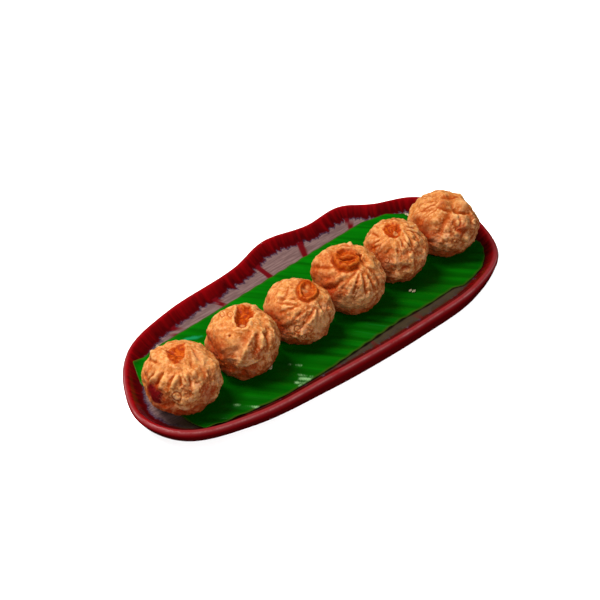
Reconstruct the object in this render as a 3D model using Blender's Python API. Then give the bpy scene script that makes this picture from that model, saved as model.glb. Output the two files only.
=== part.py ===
# Six fried momo dumplings in a row, on a strip of banana leaf in a long glazed plate.
# Run with: blender --background --python part.py, or from Blender's text editor.
#
# Frame: +X along the plate, +Z up, origin under the middle of the plate, on the surface it
# stands on. All sizes below are in millimetres. Blender gets metres.

import math
from collections import namedtuple

import bpy
import bmesh
import numpy as np

MM = 0.001
GAP = 0.3                      # air between pieces that touch on the real dish

# Plate: plan of the rim's widest line, anticlockwise from the right-hand tip.
# The far side has two shallow waves, the near side is one long curve.
RIM_PLAN = [
    (153.5, 6), (139, 35), (110, 50), (90, 64), (55, 63.5), (21, 70.5), (-15, 61), (-79.5, 55),
    (-119.5, 42), (-146.5, 9.5), (-154, -16), (-142.5, -42), (-103, -59.5), (-46, -66), (39, -70.5),
    (92, -68), (128.5, -53.5), (148, -23.5),
]
RIM_SEGMENTS = 96
FLOOR_Z = 9.5
RIM_Z = 15.5
FOOT_RECESS_Z = 3.0
# Section of the wall as (inset from the widest line, height), from the floor over the lip
# and down the outside to the foot ring and its recess.
INNER_WALL = [
    (11.5, FLOOR_Z), (9.2, FLOOR_Z + 0.4), (7.2, FLOOR_Z + 1.6), (5.2, FLOOR_Z + 3.7),
    (3.8, RIM_Z - 0.6), (2.2, RIM_Z), (0.7, RIM_Z - 0.7), (0.0, RIM_Z - 2.3),
]
OUTER_WALL = [(0.4, 11.4), (2.0, 6.2), (4.4, 1.5), (5.6, 0.0)]
FOOT_RING = [(4.9, 0.0), (6.4, FOOT_RECESS_Z)]     # inset from the foot of the outside
# The outside leans in more under the left end than elsewhere, as a share of its section.
LEAN = 0.8
LEAN_LEFT = 1.8
LEAN_FROM, LEAN_TO = -20.0, -150.0

# Leaf: far and near edges as (x, y), on the plate's floor.
LEAF_FAR = [(-131, 15), (-123.5, 32), (-97.5, 36), (-50.5, 37.5), (-3.5, 39.5), (60.5, 42), (91.5, 43),
            (112.5, 38), (126.5, 26), (133, 8), (134.5, -28)]
LEAF_NEAR = [(-131, -31), (-128.5, -44), (-76.5, -51.5), (-35.5, -53.5), (30.5, -52), (56.5, -54.5),
             (80.5, -54), (88.5, -57), (99.5, -55.5), (112.5, -52.5), (122.5, -46.5), (130.5, -38.5),
             (134.5, -32)]
LEAF_THICKNESS = 0.5
LEAF_COLUMNS = 44
LEAF_ROWS = 12
RIPPLE_HEIGHT = 1.1            # ribs of the leaf, from trough to crest
RIPPLE_LENGTH = 13.0           # from one rib to the next, along the leaf
RIPPLE_SLANT = 0.55            # how far a rib runs along the leaf for each mm across it
FLAT_HALF_WIDTH = 17.0         # the row of dumplings presses the leaf flat this far out
RIPPLE_FADE = 9.0              # and the ribs come back over this distance
LEAF_BED = FLOOR_Z + 0.4       # lowest side of the leaf
MOMO_BASE_Z = LEAF_BED + LEAF_THICKNESS + GAP

# Dumplings: the folds are placed as seen from the dish's near left side.
VIEW_AZIMUTH = math.radians(43.76)
VIEW_TILT = math.radians(38.0)
SINK = 0.84                    # middle of a dumpling above its base, as a share of its half height
AROUND = 52                    # faces around a dumpling
BASE_SOFTNESS = 0.5            # rounding where the underside meets the leaf
TOUCH_SOFTNESS = 0.7           # rounding where two dumplings press together
TOUCH_GAP = 0.2                # from each dumpling to the plane between two
SHOULDER_SQUARENESS = 2.3      # 2 is an ellipsoid, more gives the bag-like shoulders
BELLY_SQUARENESS = 2.15        # the same below the middle
# Rings of faces round the knot: these shares of its radius, then so many more to the far side,
# ending at this angle in degrees.
KNOT_RINGS = [0.35, 0.68, 1.0, 1.32, 1.7]
BODY_RINGS = 9
LAST_RING = 163.0

# A crease is a line pressed in between two places (a ridge where its depth is negative).
# A lump is a round swelling (a dent where its height is negative).
# Places are (right, up) from the dumpling's middle, as seen from the near left side.
Crease = namedtuple("Crease", "start end width depth")
Lump = namedtuple("Lump", "place radius height")
# A knot is the twisted top: a ring of dough round a hollow.
Knot = namedtuple("Knot", "place radius tube height hollow")
HOLLOW_SHARE = 0.74            # the hollow's radius as a share of the ring's
# Pleats radiate from the knot: their number, depth, how far they reach, the side they are
# deepest on, and how wide that side is, with angles in degrees from straight down.
Pleats = namedtuple("Pleats", "count depth reach side spread phase")
Momo = namedtuple("Momo", "x y size knot pleats creases lumps seed")

MOMOS = [
    Momo(-121.4, -14.9, (23.8, 24.0, 21.0),
         Knot((-2.4, 14.0), 5.0, 1.7, 0.9, 3.2),
         Pleats(15, 2.0, 92, -20, 75, 0.2),
         [Crease((-3.2, 4.0), (-6.5, -4.5), 1.5, 1.8), Crease((1.9, 4.0), (1.8, -4.0), 1.4, 1.7),
          Crease((-9.5, 5.0), (-15.5, -4.0), 1.5, 1.8), Crease((7.0, 5.0), (9.5, -3.5), 1.5, 1.4)],
         [Lump((-16.5, 14.5), 5.0, 2.4), Lump((-0.6, -9.5), 3.4, 1.0), Lump((16, 4), 6, 0.8)], 11),
    Momo(-73.3, -15.1, (23.0, 23.6, 21.8),
         Knot((0.4, 14.0), 5.2, 1.6, 0.8, 4.2),
         Pleats(13, 1.5, 85, 65, 55, 0.5),
         [Crease((8.2, 5.0), (-1.7, -15.5), 2.2, -1.9), Crease((4.0, 4.0), (-7.0, -10.0), 2.4, 1.6),
          Crease((11.0, 4.0), (8.0, -12.0), 1.8, 1.5)],
         [Lump((1.5, 20.5), 4.2, 2.6), Lump((-11, 4), 10, 1.2), Lump((9.0, 13.0), 3.0, 1.4)], 22),
    Momo(-27.3, -16.1, (22.4, 23.4, 20.1),
         Knot((5.3, 13.8), 5.9, 1.9, 2.2, 3.2),
         Pleats(16, 1.8, 95, 15, 70, 0.0),
         [Crease((-13.5, 6.2), (-2.5, 5.0), 1.4, 1.7), Crease((9.5, 3.0), (-6.6, -4.5), 1.5, 2.0),
          Crease((11.0, 3.0), (3.2, -6.5), 1.5, 2.0), Crease((13.0, 3.0), (11.6, -8.0), 1.4, 1.6)],
         [Lump((-16, 14), 5, 2.0), Lump((-6, 18), 5, 1.2), Lump((-12, -2), 5, 0.8)], 33),
    Momo(18.2, -15.5, (23.4, 25.2, 22.0),
         Knot((-0.5, 13.6), 5.0, 2.4, 3.0, 2.8),
         Pleats(17, 1.8, 100, 35, 60, 0.4),
         [Crease((-22, 5.8), (-8.5, 8.4), 1.8, 2.0), Crease((-1.5, 2.5), (-12.5, -6.5), 2.8, -2.2),
          Crease((0.5, 1.5), (-7.0, -10.0), 1.6, 1.8), Crease((6.2, 7.5), (5.0, -8.5), 1.4, 1.6),
          Crease((7.0, 8.0), (12.0, -8.5), 1.4, 1.7), Crease((7.8, 9.0), (19.0, -5.0), 1.5, 1.6)],
         [Lump((-20, 10), 8, 2.6), Lump((24.0, -5.5), 4.5, 2.2), Lump((2.1, 21.5), 2.6, 1.6),
          Lump((13.1, -11.7), 3.2, 1.0)], 44),
    Momo(63.9, -15.0, (21.9, 22.4, 21.4),
         Knot((-3.2, 13.0), 5.4, 1.8, 1.2, 3.0),
         Pleats(17, 1.5, 88, 0, 120, 0.3),
         [Crease((-14.0, 10.0), (-17.0, 6.5), 1.4, 1.4), Crease((-13.0, 1.0), (-18.0, -3.0), 1.4, 1.4),
          Crease((5.2, 3.0), (5.2, -3.5), 1.4, 1.4), Crease((10.0, 5.5), (13.5, 1.0), 1.4, 1.4)],
         [Lump((-1.5, 19.0), 4.0, 1.6), Lump((6, -16), 4, -1.0)], 55),
    Momo(110.6, -16.3, (24.4, 25.2, 22.0),
         Knot((6.8, 17.0), 4.6, 2.2, 0.8, 3.2),
         Pleats(12, 1.2, 90, -10, 120, 0.7),
         [Crease((5.5, 12.0), (15.8, 14.5), 2.8, -2.6), Crease((4.0, 5.5), (17.5, 8.5), 1.8, 1.6),
          Crease((-7.5, -6.0), (-9.0, -16.0), 2.0, 1.4)],
         [Lump((0.8, 18.8), 3.0, 1.2), Lump((-1.3, 9.9), 3.6, 1.3), Lump((12.5, -2.6), 6.5, 2.2),
          Lump((-14, 12), 6, 1.3), Lump((8.3, -14.3), 3.4, 1.2), Lump((16.0, 12.0), 5.0, 1.6)], 66),
]

# Unevenness of the fried skin: round swellings spread by a seeded draw.
SWELLINGS = 26
SWELLING_RADIUS = (4.0, 7.5)
SWELLING_HEIGHT = (-0.7, 0.9)

# Colours as linear RGB, roughness, metallic.
PLATE_FINISH = ((0.20, 0.008, 0.016), 0.22, 0.0)
LEAF_FINISH = ((0.010, 0.19, 0.012), 0.40, 0.0)
DOUGH_FINISH = ((0.62, 0.27, 0.085), 0.55, 0.0)


def clear_scene():
    for thing in list(bpy.data.objects):
        bpy.data.objects.remove(thing, do_unlink=True)


def material(name, finish):
    colour, roughness, metallic = finish
    made = bpy.data.materials.new(name)
    made.use_nodes = True
    shader = made.node_tree.nodes["Principled BSDF"]
    shader.inputs["Base Color"].default_value = (*colour, 1.0)
    shader.inputs["Roughness"].default_value = roughness
    shader.inputs["Metallic"].default_value = metallic
    return made


def mesh_object(name, points, faces, finish):
    """One closed body from points in mm, triangulated, with its faces pointing out."""
    mesh = bpy.data.meshes.new(name)
    mesh.from_pydata([tuple(point) for point in np.asarray(points) * MM], [], faces)
    shape = bmesh.new()
    shape.from_mesh(mesh)
    bmesh.ops.triangulate(shape, faces=[face for face in shape.faces if len(face.verts) > 3])
    bmesh.ops.recalc_face_normals(shape, faces=shape.faces)
    shape.to_mesh(mesh)
    shape.free()
    mesh.shade_smooth()
    mesh.materials.append(finish)
    made = bpy.data.objects.new(name, mesh)
    bpy.context.collection.objects.link(made)
    return made


def strip(lower, upper, closed=True):
    """Quads between two rows of point numbers."""
    count = len(lower) if closed else len(lower) - 1
    return [(lower[i], lower[(i + 1) % len(lower)], upper[(i + 1) % len(upper)], upper[i])
            for i in range(count)]


def smoothstep(low, high, value):
    share = np.clip((value - low) / (high - low), 0.0, 1.0)
    return share * share * (3.0 - 2.0 * share)


def unit(vector):
    vector = np.asarray(vector, float)
    return vector / np.linalg.norm(vector, axis=-1, keepdims=True)


def soft_floor(value, limit, softness):
    """The value, kept above the limit with a rounded corner."""
    return limit + softness * np.logaddexp(0.0, (value - limit) / softness)


# The plate

def closed_curve(points, samples):
    """A smooth closed curve through the points, with evenly spaced samples."""
    points = np.asarray(points, float)
    fine = []
    count = len(points)
    for i in range(count):
        before, start, end, after = (points[(i + k) % count] for k in (-1, 0, 1, 2))
        step = np.sqrt(np.linalg.norm(end - start))
        slope_in = (start - before) / np.linalg.norm(start - before)
        slope_out = (end - start) / np.linalg.norm(end - start)
        slope_next = (after - end) / np.linalg.norm(after - end)
        start_slope = unit(slope_in + slope_out) * step ** 2
        end_slope = unit(slope_out + slope_next) * step ** 2
        for t in np.linspace(0.0, 1.0, 24, endpoint=False):
            fine.append((2 * t ** 3 - 3 * t ** 2 + 1) * start + (t ** 3 - 2 * t ** 2 + t) * start_slope
                        + (3 * t ** 2 - 2 * t ** 3) * end + (t ** 3 - t ** 2) * end_slope)
    fine = np.array(fine)
    loop = np.vstack([fine, fine[:1]])
    run = np.concatenate([[0.0], np.cumsum(np.linalg.norm(np.diff(loop, axis=0), axis=1))])
    wanted = np.linspace(0.0, run[-1], samples, endpoint=False)
    return np.column_stack([np.interp(wanted, run, loop[:, axis]) for axis in (0, 1)])


def rim_outline(samples):
    outline = closed_curve(RIM_PLAN, samples)
    middle = (outline.min(axis=0) + outline.max(axis=0)) / 2
    return outline - middle


def inset(outline, distance):
    """The outline moved inwards. It runs anticlockwise, so inwards is to the left."""
    along = unit(np.roll(outline, -1, axis=0) - np.roll(outline, 1, axis=0))
    inwards = np.column_stack([-along[:, 1], along[:, 0]])
    return outline + inwards * distance


def floor_height(x, y):
    """Height of the plate's upper surface over a point of the plan."""
    outline = rim_outline(4 * RIM_SEGMENTS)
    places = np.column_stack([np.ravel(x), np.ravel(y)])
    away = np.sqrt(((places[:, None, :] - outline[None, :, :]) ** 2).sum(axis=2)).min(axis=1)
    section = sorted(INNER_WALL)
    height = np.interp(away, [point[0] for point in section], [point[1] for point in section])
    return height.reshape(np.shape(x))


def make_plate():
    outline = rim_outline(RIM_SEGMENTS)
    lean = LEAN + (LEAN_LEFT - LEAN) * smoothstep(LEAN_FROM, LEAN_TO, outline[:, :1])
    foot = OUTER_WALL[-1][0] * lean
    points = []
    rows = []
    sections = [(distance, height) for distance, height in INNER_WALL]
    sections += [(distance * lean, height) for distance, height in OUTER_WALL]
    sections += [(foot + distance, height) for distance, height in FOOT_RING]
    for distance, height in sections:
        row = inset(outline, distance)
        rows.append(list(range(len(points), len(points) + RIM_SEGMENTS)))
        points.extend((x, y, height) for x, y in row)
    floor_middle, foot_middle = len(points), len(points) + 1
    points.extend([(0.0, 0.0, FLOOR_Z), (0.0, 0.0, FOOT_RECESS_Z)])
    faces = []
    for upper, lower in zip(rows, rows[1:]):
        faces.extend(strip(lower, upper))
    for i in range(RIM_SEGMENTS):
        j = (i + 1) % RIM_SEGMENTS
        faces.append((rows[0][i], rows[0][j], floor_middle))
        faces.append((rows[-1][j], rows[-1][i], foot_middle))
    return mesh_object("plate", points, faces, material("red glaze", PLATE_FINISH))


# The leaf

def ripple(x, y):
    """Height of the leaf's ribs over its bed: slanted waves that fade under the dumplings."""
    row_y = np.interp(x, [momo.x for momo in MOMOS], [momo.y for momo in MOMOS])
    fade = smoothstep(FLAT_HALF_WIDTH, FLAT_HALF_WIDTH + RIPPLE_FADE, np.abs(y - row_y))
    wander = 2.2 * np.sin(x / 31.0) + 1.6 * np.sin(y / 17.0 + x / 53.0)
    phase = 2.0 * math.pi * (x + RIPPLE_SLANT * y + wander) / RIPPLE_LENGTH
    strength = 0.65 + 0.35 * np.sin(x / 23.0 + 1.0)
    return RIPPLE_HEIGHT * fade * strength * (0.5 + 0.5 * np.sin(phase))


def make_leaf():
    # Columns stand closer together near the ends, where the edge curves.
    spread = np.linspace(-1.0, 1.0, LEAF_COLUMNS + 1)
    spread = 0.75 * spread + 0.25 * np.sin(spread * math.pi / 2)
    left, right = LEAF_FAR[0][0], LEAF_FAR[-1][0]
    columns = left + (right - left) * (spread + 1.0) / 2.0
    far = np.interp(columns, *zip(*LEAF_FAR))
    near = np.interp(columns, *zip(*LEAF_NEAR))
    across = np.linspace(0.0, 1.0, LEAF_ROWS + 1)
    x = np.repeat(columns[:, None], LEAF_ROWS + 1, axis=1)
    y = near[:, None] + (far - near)[:, None] * across[None, :]
    lower = floor_height(x, y) + LEAF_BED - FLOOR_Z + ripple(x, y)
    upper = lower + LEAF_THICKNESS
    half = x.size
    points = [*zip(x.ravel(), y.ravel(), upper.ravel()), *zip(x.ravel(), y.ravel(), lower.ravel())]
    grid = np.arange(half).reshape(x.shape)
    faces = []
    for i in range(LEAF_COLUMNS):
        for j in range(LEAF_ROWS):
            a, b, c, d = grid[i, j], grid[i + 1, j], grid[i + 1, j + 1], grid[i, j + 1]
            faces.extend([(a, b, c), (a, c, d)])
            faces.extend([(a + half, c + half, b + half), (a + half, d + half, c + half)])
    edge = [*grid[:, 0], *grid[-1, 1:], *grid[-2::-1, -1], *grid[0, -2:0:-1]]
    faces.extend(strip([point + half for point in edge], edge))
    points = [tuple(float(value) for value in point) for point in points]
    faces = [tuple(int(number) for number in face) for face in faces]
    return mesh_object("leaf", points, faces, material("banana leaf", LEAF_FINISH))


# The dumplings

SEEN_RIGHT = np.array([math.cos(VIEW_AZIMUTH), -math.sin(VIEW_AZIMUTH), 0.0])
SEEN_DEPTH = np.array([math.sin(VIEW_AZIMUTH), math.cos(VIEW_AZIMUTH), 0.0])
TOWARDS = np.array([0.0, 0.0, math.sin(VIEW_TILT)]) - SEEN_DEPTH * math.cos(VIEW_TILT)
SEEN_UP = np.array([0.0, 0.0, math.cos(VIEW_TILT)]) + SEEN_DEPTH * math.sin(VIEW_TILT)


def seen_place(place, size):
    """Direction, from a dumpling's middle, of a place given as (right, up) in mm."""
    radius = sum(size) / 3
    right, up = place[0] / radius, place[1] / radius
    towards = math.sqrt(max(0.01, 1.0 - right * right - up * up))
    return unit(SEEN_RIGHT * right + SEEN_UP * up + TOWARDS * towards)


def knot_frame(momo):
    """The knot's direction, with the directions down and right on the skin beside it."""
    axis = seen_place(momo.knot.place, momo.size)
    down = unit(axis * np.dot(SEEN_UP, axis) - SEEN_UP)
    return axis, down, np.cross(down, axis)


def body_skin(momo, directions):
    """The plain body: a ball with fuller shoulders than an ellipsoid."""
    level = np.hypot(directions[:, 0], directions[:, 1])
    power = np.where(directions[:, 2] > 0, SHOULDER_SQUARENESS, BELLY_SQUARENESS)
    full = (level ** power + np.abs(directions[:, 2]) ** power) ** (-1 / power)
    return directions * full[:, None] * np.array(momo.size)


def pleat_relief(momo, directions):
    """Folds that radiate from the knot, with sharp valleys and round backs."""
    axis, down, right = knot_frame(momo)
    pleats = momo.pleats
    angle = np.degrees(np.arccos(np.clip(directions @ axis, -1, 1)))
    turn = np.arctan2(directions @ right, directions @ down)
    jitter = 0.16 * np.sin(2 * turn + momo.seed) + 0.09 * np.sin(5 * turn + 2.0 * momo.seed)
    twist = math.radians(0.18) * angle
    phase = pleats.count * (turn + jitter + twist) / 2 + pleats.phase
    valley = (1.0 - np.abs(np.cos(phase))) ** 1.3
    start = math.degrees((momo.knot.radius + 1.5 * momo.knot.tube) / momo.size[0])
    reach = smoothstep(start - 4, start + 9, angle)
    reach = reach * (1.0 - smoothstep(0.55 * pleats.reach, pleats.reach, angle))
    off_side = np.abs((np.degrees(turn) - pleats.side + 180.0) % 360.0 - 180.0)
    strength = 0.45 + 0.55 * (1.0 - smoothstep(0.6 * pleats.spread, 1.3 * pleats.spread, off_side))
    return -pleats.depth * valley * reach * strength


def knot_relief(momo, directions, skin):
    """A ring of dough round a hollow."""
    axis, _, _ = knot_frame(momo)
    knot = momo.knot
    centre = body_skin(momo, axis[None, :])
    away = np.linalg.norm(skin - centre, axis=1)
    ring = knot.height * np.exp(-((away - knot.radius) / knot.tube) ** 2)
    hollow = -knot.hollow * np.exp(-(away / (HOLLOW_SHARE * knot.radius)) ** 4)
    return ring + hollow


def crease_relief(momo, crease, skin):
    """A line pressed in between two places, tapering at its ends."""
    start, end = seen_place(crease.start, momo.size), seen_place(crease.end, momo.size)
    share = np.linspace(0.0, 1.0, 13)[:, None]
    line = body_skin(momo, unit(start * (1 - share) + end * share))
    away = np.linalg.norm(skin[:, None, :] - line[None, :, :], axis=2)
    nearest = away.argmin(axis=1)
    taper = np.sin(math.pi * (0.12 + 0.76 * share[nearest, 0])) ** 0.7
    return -crease.depth * taper * np.exp(-(away.min(axis=1) / crease.width) ** 2)


def lump_relief(momo, lump, skin):
    centre = body_skin(momo, seen_place(lump.place, momo.size)[None, :])
    away = np.linalg.norm(skin - centre, axis=1)
    return lump.height * np.exp(-(away / lump.radius) ** 2)


def swelling_relief(momo, skin):
    """Uneven skin: a seeded spread of low swellings and dips."""
    draw = np.random.default_rng(momo.seed)
    centres = body_skin(momo, unit(draw.normal(size=(SWELLINGS, 3))))
    radii = draw.uniform(*SWELLING_RADIUS, SWELLINGS)
    heights = draw.uniform(*SWELLING_HEIGHT, SWELLINGS)
    total = np.zeros(len(skin))
    for centre, radius, height in zip(centres, radii, heights):
        total += height * np.exp(-(np.linalg.norm(skin - centre, axis=1) / radius) ** 2)
    return total


def touching_planes(number):
    """The planes across X that a dumpling presses against, or None at the ends of the row."""
    def between(left, right):
        return (left.x + left.size[0] + right.x - right.size[0]) / 2
    low = between(MOMOS[number - 1], MOMOS[number]) + TOUCH_GAP if number > 0 else None
    high = between(MOMOS[number], MOMOS[number + 1]) - TOUCH_GAP if number < len(MOMOS) - 1 else None
    return low, high


def momo_points(number, directions):
    """Points of a dumpling's skin in the given directions from its middle."""
    momo = MOMOS[number]
    size = np.array(momo.size)
    skin = body_skin(momo, directions)
    relief = pleat_relief(momo, directions) + knot_relief(momo, directions, skin)
    relief += swelling_relief(momo, skin)
    for crease in momo.creases:
        relief += crease_relief(momo, crease, skin)
    for lump in momo.lumps:
        relief += lump_relief(momo, lump, skin)
    points = skin + unit(directions / size) * relief[:, None]
    points += np.array([momo.x, momo.y, MOMO_BASE_Z + SINK * size[2]])
    low, high = touching_planes(number)
    if low is not None:
        points[:, 0] = soft_floor(points[:, 0], low, TOUCH_SOFTNESS)
    if high is not None:
        points[:, 0] = -soft_floor(-points[:, 0], -high, TOUCH_SOFTNESS)
    points[:, 2] = soft_floor(points[:, 2], MOMO_BASE_Z, BASE_SOFTNESS)
    return points


def momo_grid(momo):
    """Directions on rings round the knot, and the faces between them."""
    axis, down, right = knot_frame(momo)
    turns = np.linspace(0.0, 2 * math.pi, AROUND, endpoint=False)
    knot_angles = [share * momo.knot.radius / momo.size[0] for share in KNOT_RINGS]
    body_angles = np.linspace(knot_angles[-1], math.radians(LAST_RING), BODY_RINGS + 1)[1:]
    angles = [*knot_angles, *body_angles]
    directions = [axis]
    for angle in angles:
        for turn in turns:
            outwards = down * math.cos(turn) + right * math.sin(turn)
            directions.append(axis * math.cos(angle) + outwards * math.sin(angle))
    directions.append(-axis)
    rows = [list(range(1 + AROUND * k, 1 + AROUND * (k + 1))) for k in range(len(angles))]
    faces = []
    for upper, lower in zip(rows, rows[1:]):
        faces.extend(strip(lower, upper))
    last = len(directions) - 1
    for i in range(AROUND):
        j = (i + 1) % AROUND
        faces.append((rows[0][i], rows[0][j], 0))
        faces.append((rows[-1][j], rows[-1][i], last))
    return np.array(directions), faces


def make_momo(number, dough):
    directions, faces = momo_grid(MOMOS[number])
    return mesh_object(f"momo_{number + 1}", momo_points(number, directions), faces, dough)


def main():
    clear_scene()
    make_plate()
    make_leaf()
    dough = material("fried dough", DOUGH_FINISH)
    for number in range(len(MOMOS)):
        make_momo(number, dough)


main()
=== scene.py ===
# %% [markdown]
# # Fried momos on a leaf-lined plate
# A row of fried dumplings lies on a strip of banana leaf in a long plate with a dark red glaze.
# The measured model gives where every piece lies. This lesson dresses it: each piece is built
# again as a fine mesh on the same measures, and each gets its own painted-by-nodes finish.

# %% Load the measured model
import math
from collections import namedtuple

import bmesh
import bpy
import numpy as np
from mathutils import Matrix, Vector, noise
from mathutils.kdtree import KDTree


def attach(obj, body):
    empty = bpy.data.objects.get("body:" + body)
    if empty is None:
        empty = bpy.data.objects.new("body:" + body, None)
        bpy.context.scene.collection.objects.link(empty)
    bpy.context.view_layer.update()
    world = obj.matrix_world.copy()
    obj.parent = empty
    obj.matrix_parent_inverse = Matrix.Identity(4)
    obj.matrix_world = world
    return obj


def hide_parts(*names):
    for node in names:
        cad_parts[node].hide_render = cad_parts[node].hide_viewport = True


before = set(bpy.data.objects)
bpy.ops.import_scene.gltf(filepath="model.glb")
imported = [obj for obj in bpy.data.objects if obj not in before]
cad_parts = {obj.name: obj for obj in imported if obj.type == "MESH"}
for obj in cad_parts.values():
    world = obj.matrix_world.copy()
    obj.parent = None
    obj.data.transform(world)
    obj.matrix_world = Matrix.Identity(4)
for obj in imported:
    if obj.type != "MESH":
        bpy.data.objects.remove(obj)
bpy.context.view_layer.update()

MM = 0.001

# %% [markdown]
# ## Helpers for shapes
# All shapes are worked out in millimetres with numpy, which is quick for many points at once,
# and become metres only when the mesh is made. A smooth step and a soft floor are used to
# blend one shape into another without a visible line.

# %% Blending numbers
# How quickly finer lumps of a cloud get weaker, and how many times finer each is.
CLOUD_FALL, CLOUD_RATIO = 0.9, 2.1


def smooth_step(low, high, value):
    share = np.clip((value - low) / (high - low), 0.0, 1.0)
    return share * share * (3.0 - 2.0 * share)


def unit(vector):
    vector = np.asarray(vector, float)
    return vector / np.linalg.norm(vector, axis=-1, keepdims=True)


def soft_floor(value, limit, softness):
    """The value, kept above the limit with a rounded corner."""
    return limit + softness * np.logaddexp(0.0, (value - limit) / softness)


def cloud(points, size, octaves=3.0, shift=0.0):
    """Fractal noise at each point, for lumps of about this size."""
    scaled = np.asarray(points) / size + shift
    return np.array([noise.fractal(Vector(point), CLOUD_FALL, CLOUD_RATIO, octaves)
                     for point in scaled])


# %% Making a mesh
def make_piece(name, points, faces, paint, node, marks=None):
    """A mesh from points in mm. Marks are named values kept on each point for its finish."""
    mesh = bpy.data.meshes.new(name)
    mesh.from_pydata([tuple(point) for point in np.asarray(points, float) * MM], [], faces)
    mesh.shade_smooth()
    for mark, values in (marks or {}).items():
        values = np.asarray(values, np.float32)
        kind = "FLOAT" if values.ndim == 1 else "FLOAT_VECTOR"
        layer = mesh.attributes.new(mark, kind, "POINT")
        layer.data.foreach_set("value" if kind == "FLOAT" else "vector", values.ravel())
    mesh.materials.append(paint)
    piece = bpy.data.objects.new(name, mesh)
    bpy.context.collection.objects.link(piece)
    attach(piece, "root")
    if node:
        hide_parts(node)
    print(name, len(mesh.vertices), "points,", len(mesh.polygons), "faces")
    return piece


def band(lower, upper):
    """Four-sided faces between two closed rows of point numbers."""
    count = len(lower)
    return [(lower[i], lower[(i + 1) % count], upper[(i + 1) % count], upper[i])
            for i in range(count)]


# %% [markdown]
# ## Helpers for finishes
# A finish is a tree of nodes. Written out node by node it is hard to read, so a small class
# holds one socket and turns plain sums into Math nodes, and colours are laid on in coats.

# %% Sums with sockets
class Wire:
    """The value that comes out of a socket, ready for plain sums."""

    def __init__(self, finish, socket):
        self.finish = finish
        self.socket = socket

    def sum(self, operation, first, second, clamp=False):
        settings = {"operation": operation, "use_clamp": clamp}
        return self.finish.node("ShaderNodeMath", settings, {0: first, 1: second})

    def __add__(self, other):
        return self.sum("ADD", self, other)

    def __radd__(self, other):
        return self.sum("ADD", other, self)

    def __sub__(self, other):
        return self.sum("SUBTRACT", self, other)

    def __rsub__(self, other):
        return self.sum("SUBTRACT", other, self)

    def __mul__(self, other):
        return self.sum("MULTIPLY", self, other)

    def __rmul__(self, other):
        return self.sum("MULTIPLY", other, self)

    def __neg__(self):
        return self.sum("SUBTRACT", 0.0, self)

    def clipped(self):
        return self.sum("ADD", self, 0.0, clamp=True)

    def part(self, letter):
        """One of the three numbers of a vector."""
        return self.finish.node("ShaderNodeSeparateXYZ", {}, {"Vector": self}, output=letter)

    def step(self, low, high):
        """0 below low, 1 above high, and smooth between."""
        settings = {"interpolation_type": "SMOOTHSTEP"}
        values = {"Value": self, "From Min": low, "From Max": high}
        return self.finish.node("ShaderNodeMapRange", settings, values)


class Finish:
    """One material, and the nodes it is made of."""

    def __init__(self, name):
        self.material = bpy.data.materials.new(name)
        self.material.use_nodes = True
        self.tree = self.material.node_tree
        self.shader = self.tree.nodes["Principled BSDF"]
        coordinates = self.node("ShaderNodeTexCoord", {}, {}, output="Object")
        self.place = self.node("ShaderNodeVectorMath", {"operation": "SCALE"},
                               {"Vector": coordinates, "Scale": 1 / MM})

    def join(self, socket, value):
        if isinstance(value, Wire):
            self.tree.links.new(value.socket, socket)
        elif isinstance(value, tuple) and len(value) == 3 and socket.type == "RGBA":
            socket.default_value = (*value, 1.0)
        else:
            socket.default_value = value

    def node(self, kind, settings, sockets, output=0):
        """Any node: its type, its settings, then the values or links of its sockets."""
        made = self.tree.nodes.new(kind)
        for setting, value in settings.items():
            setattr(made, setting, value)
        live = [socket for socket in made.inputs if socket.enabled]
        for key, value in sockets.items():
            socket = live[key] if isinstance(key, int) else next(s for s in live if s.name == key)
            self.join(socket, value)
        outputs = [socket for socket in made.outputs if socket.enabled]
        if isinstance(output, int):
            return Wire(self, outputs[output])
        return Wire(self, next(socket for socket in outputs if socket.name == output))

    def mark(self, name, output="Fac"):
        """A value kept on the points of the mesh."""
        return self.node("ShaderNodeAttribute", {"attribute_name": name}, {}, output=output)

    def mottle(self, size, detail=3.0, roughness=0.5, place=None, distortion=0.0):
        """Cloudy noise with patches of about this many mm, centred on 0.5."""
        values = {"Vector": place or self.place, "Scale": 1.0 / size, "Detail": detail,
                  "Roughness": roughness, "Distortion": distortion}
        return self.node("ShaderNodeTexNoise", {}, values)

    def tint(self, under, over, amount):
        """One colour laid over another by an amount from 0 to 1."""
        settings = {"data_type": "RGBA", "blend_type": "MIX", "clamp_factor": True}
        return self.node("ShaderNodeMix", settings, {"Factor": amount, "A": under, "B": over})

    def coats(self, under, *coats):
        """Colours laid on in turn, each as (colour, amount)."""
        for over, amount in coats:
            under = self.tint(under, over, amount)
        return under

    def relief(self, height, depth, under=None):
        """A bump of this depth in mm, laid over another bump."""
        values = {"Height": height, "Strength": 1.0, "Distance": depth * MM}
        if under:
            values["Normal"] = under
        return self.node("ShaderNodeBump", {}, values)

    def finish(self, fixed, **varying):
        """Set what is the same all over, and link what varies."""
        for socket, value in fixed.items():
            self.shader.inputs[socket].default_value = value
        for socket, value in varying.items():
            self.join(self.shader.inputs[socket.replace("_", " ")], value)
        return self.material


# %% [markdown]
# ## The plate's shape
# The plate is slip-cast: one section swept round a free outline, with a floor inside. It could
# be carved from a solid, but sweeping gives even rows of faces that follow the rim, so the
# glaze can be painted by how far a point lies from the rim.

# %% Outline of the rim
RIM_PLAN = [
    (153.5, 6), (139, 35), (110, 50), (90, 64), (55, 63.5), (21, 70.5), (-15, 61), (-79.5, 55),
    (-119.5, 42), (-146.5, 9.5), (-154, -16), (-142.5, -42), (-103, -59.5), (-46, -66), (39, -70.5),
    (92, -68), (128.5, -53.5), (148, -23.5),
]
# Points round the rim in the measured model, here, and between two points of the plan.
MODEL_ROUND, ROUND, BETWEEN = 96, 720, 24


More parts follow.
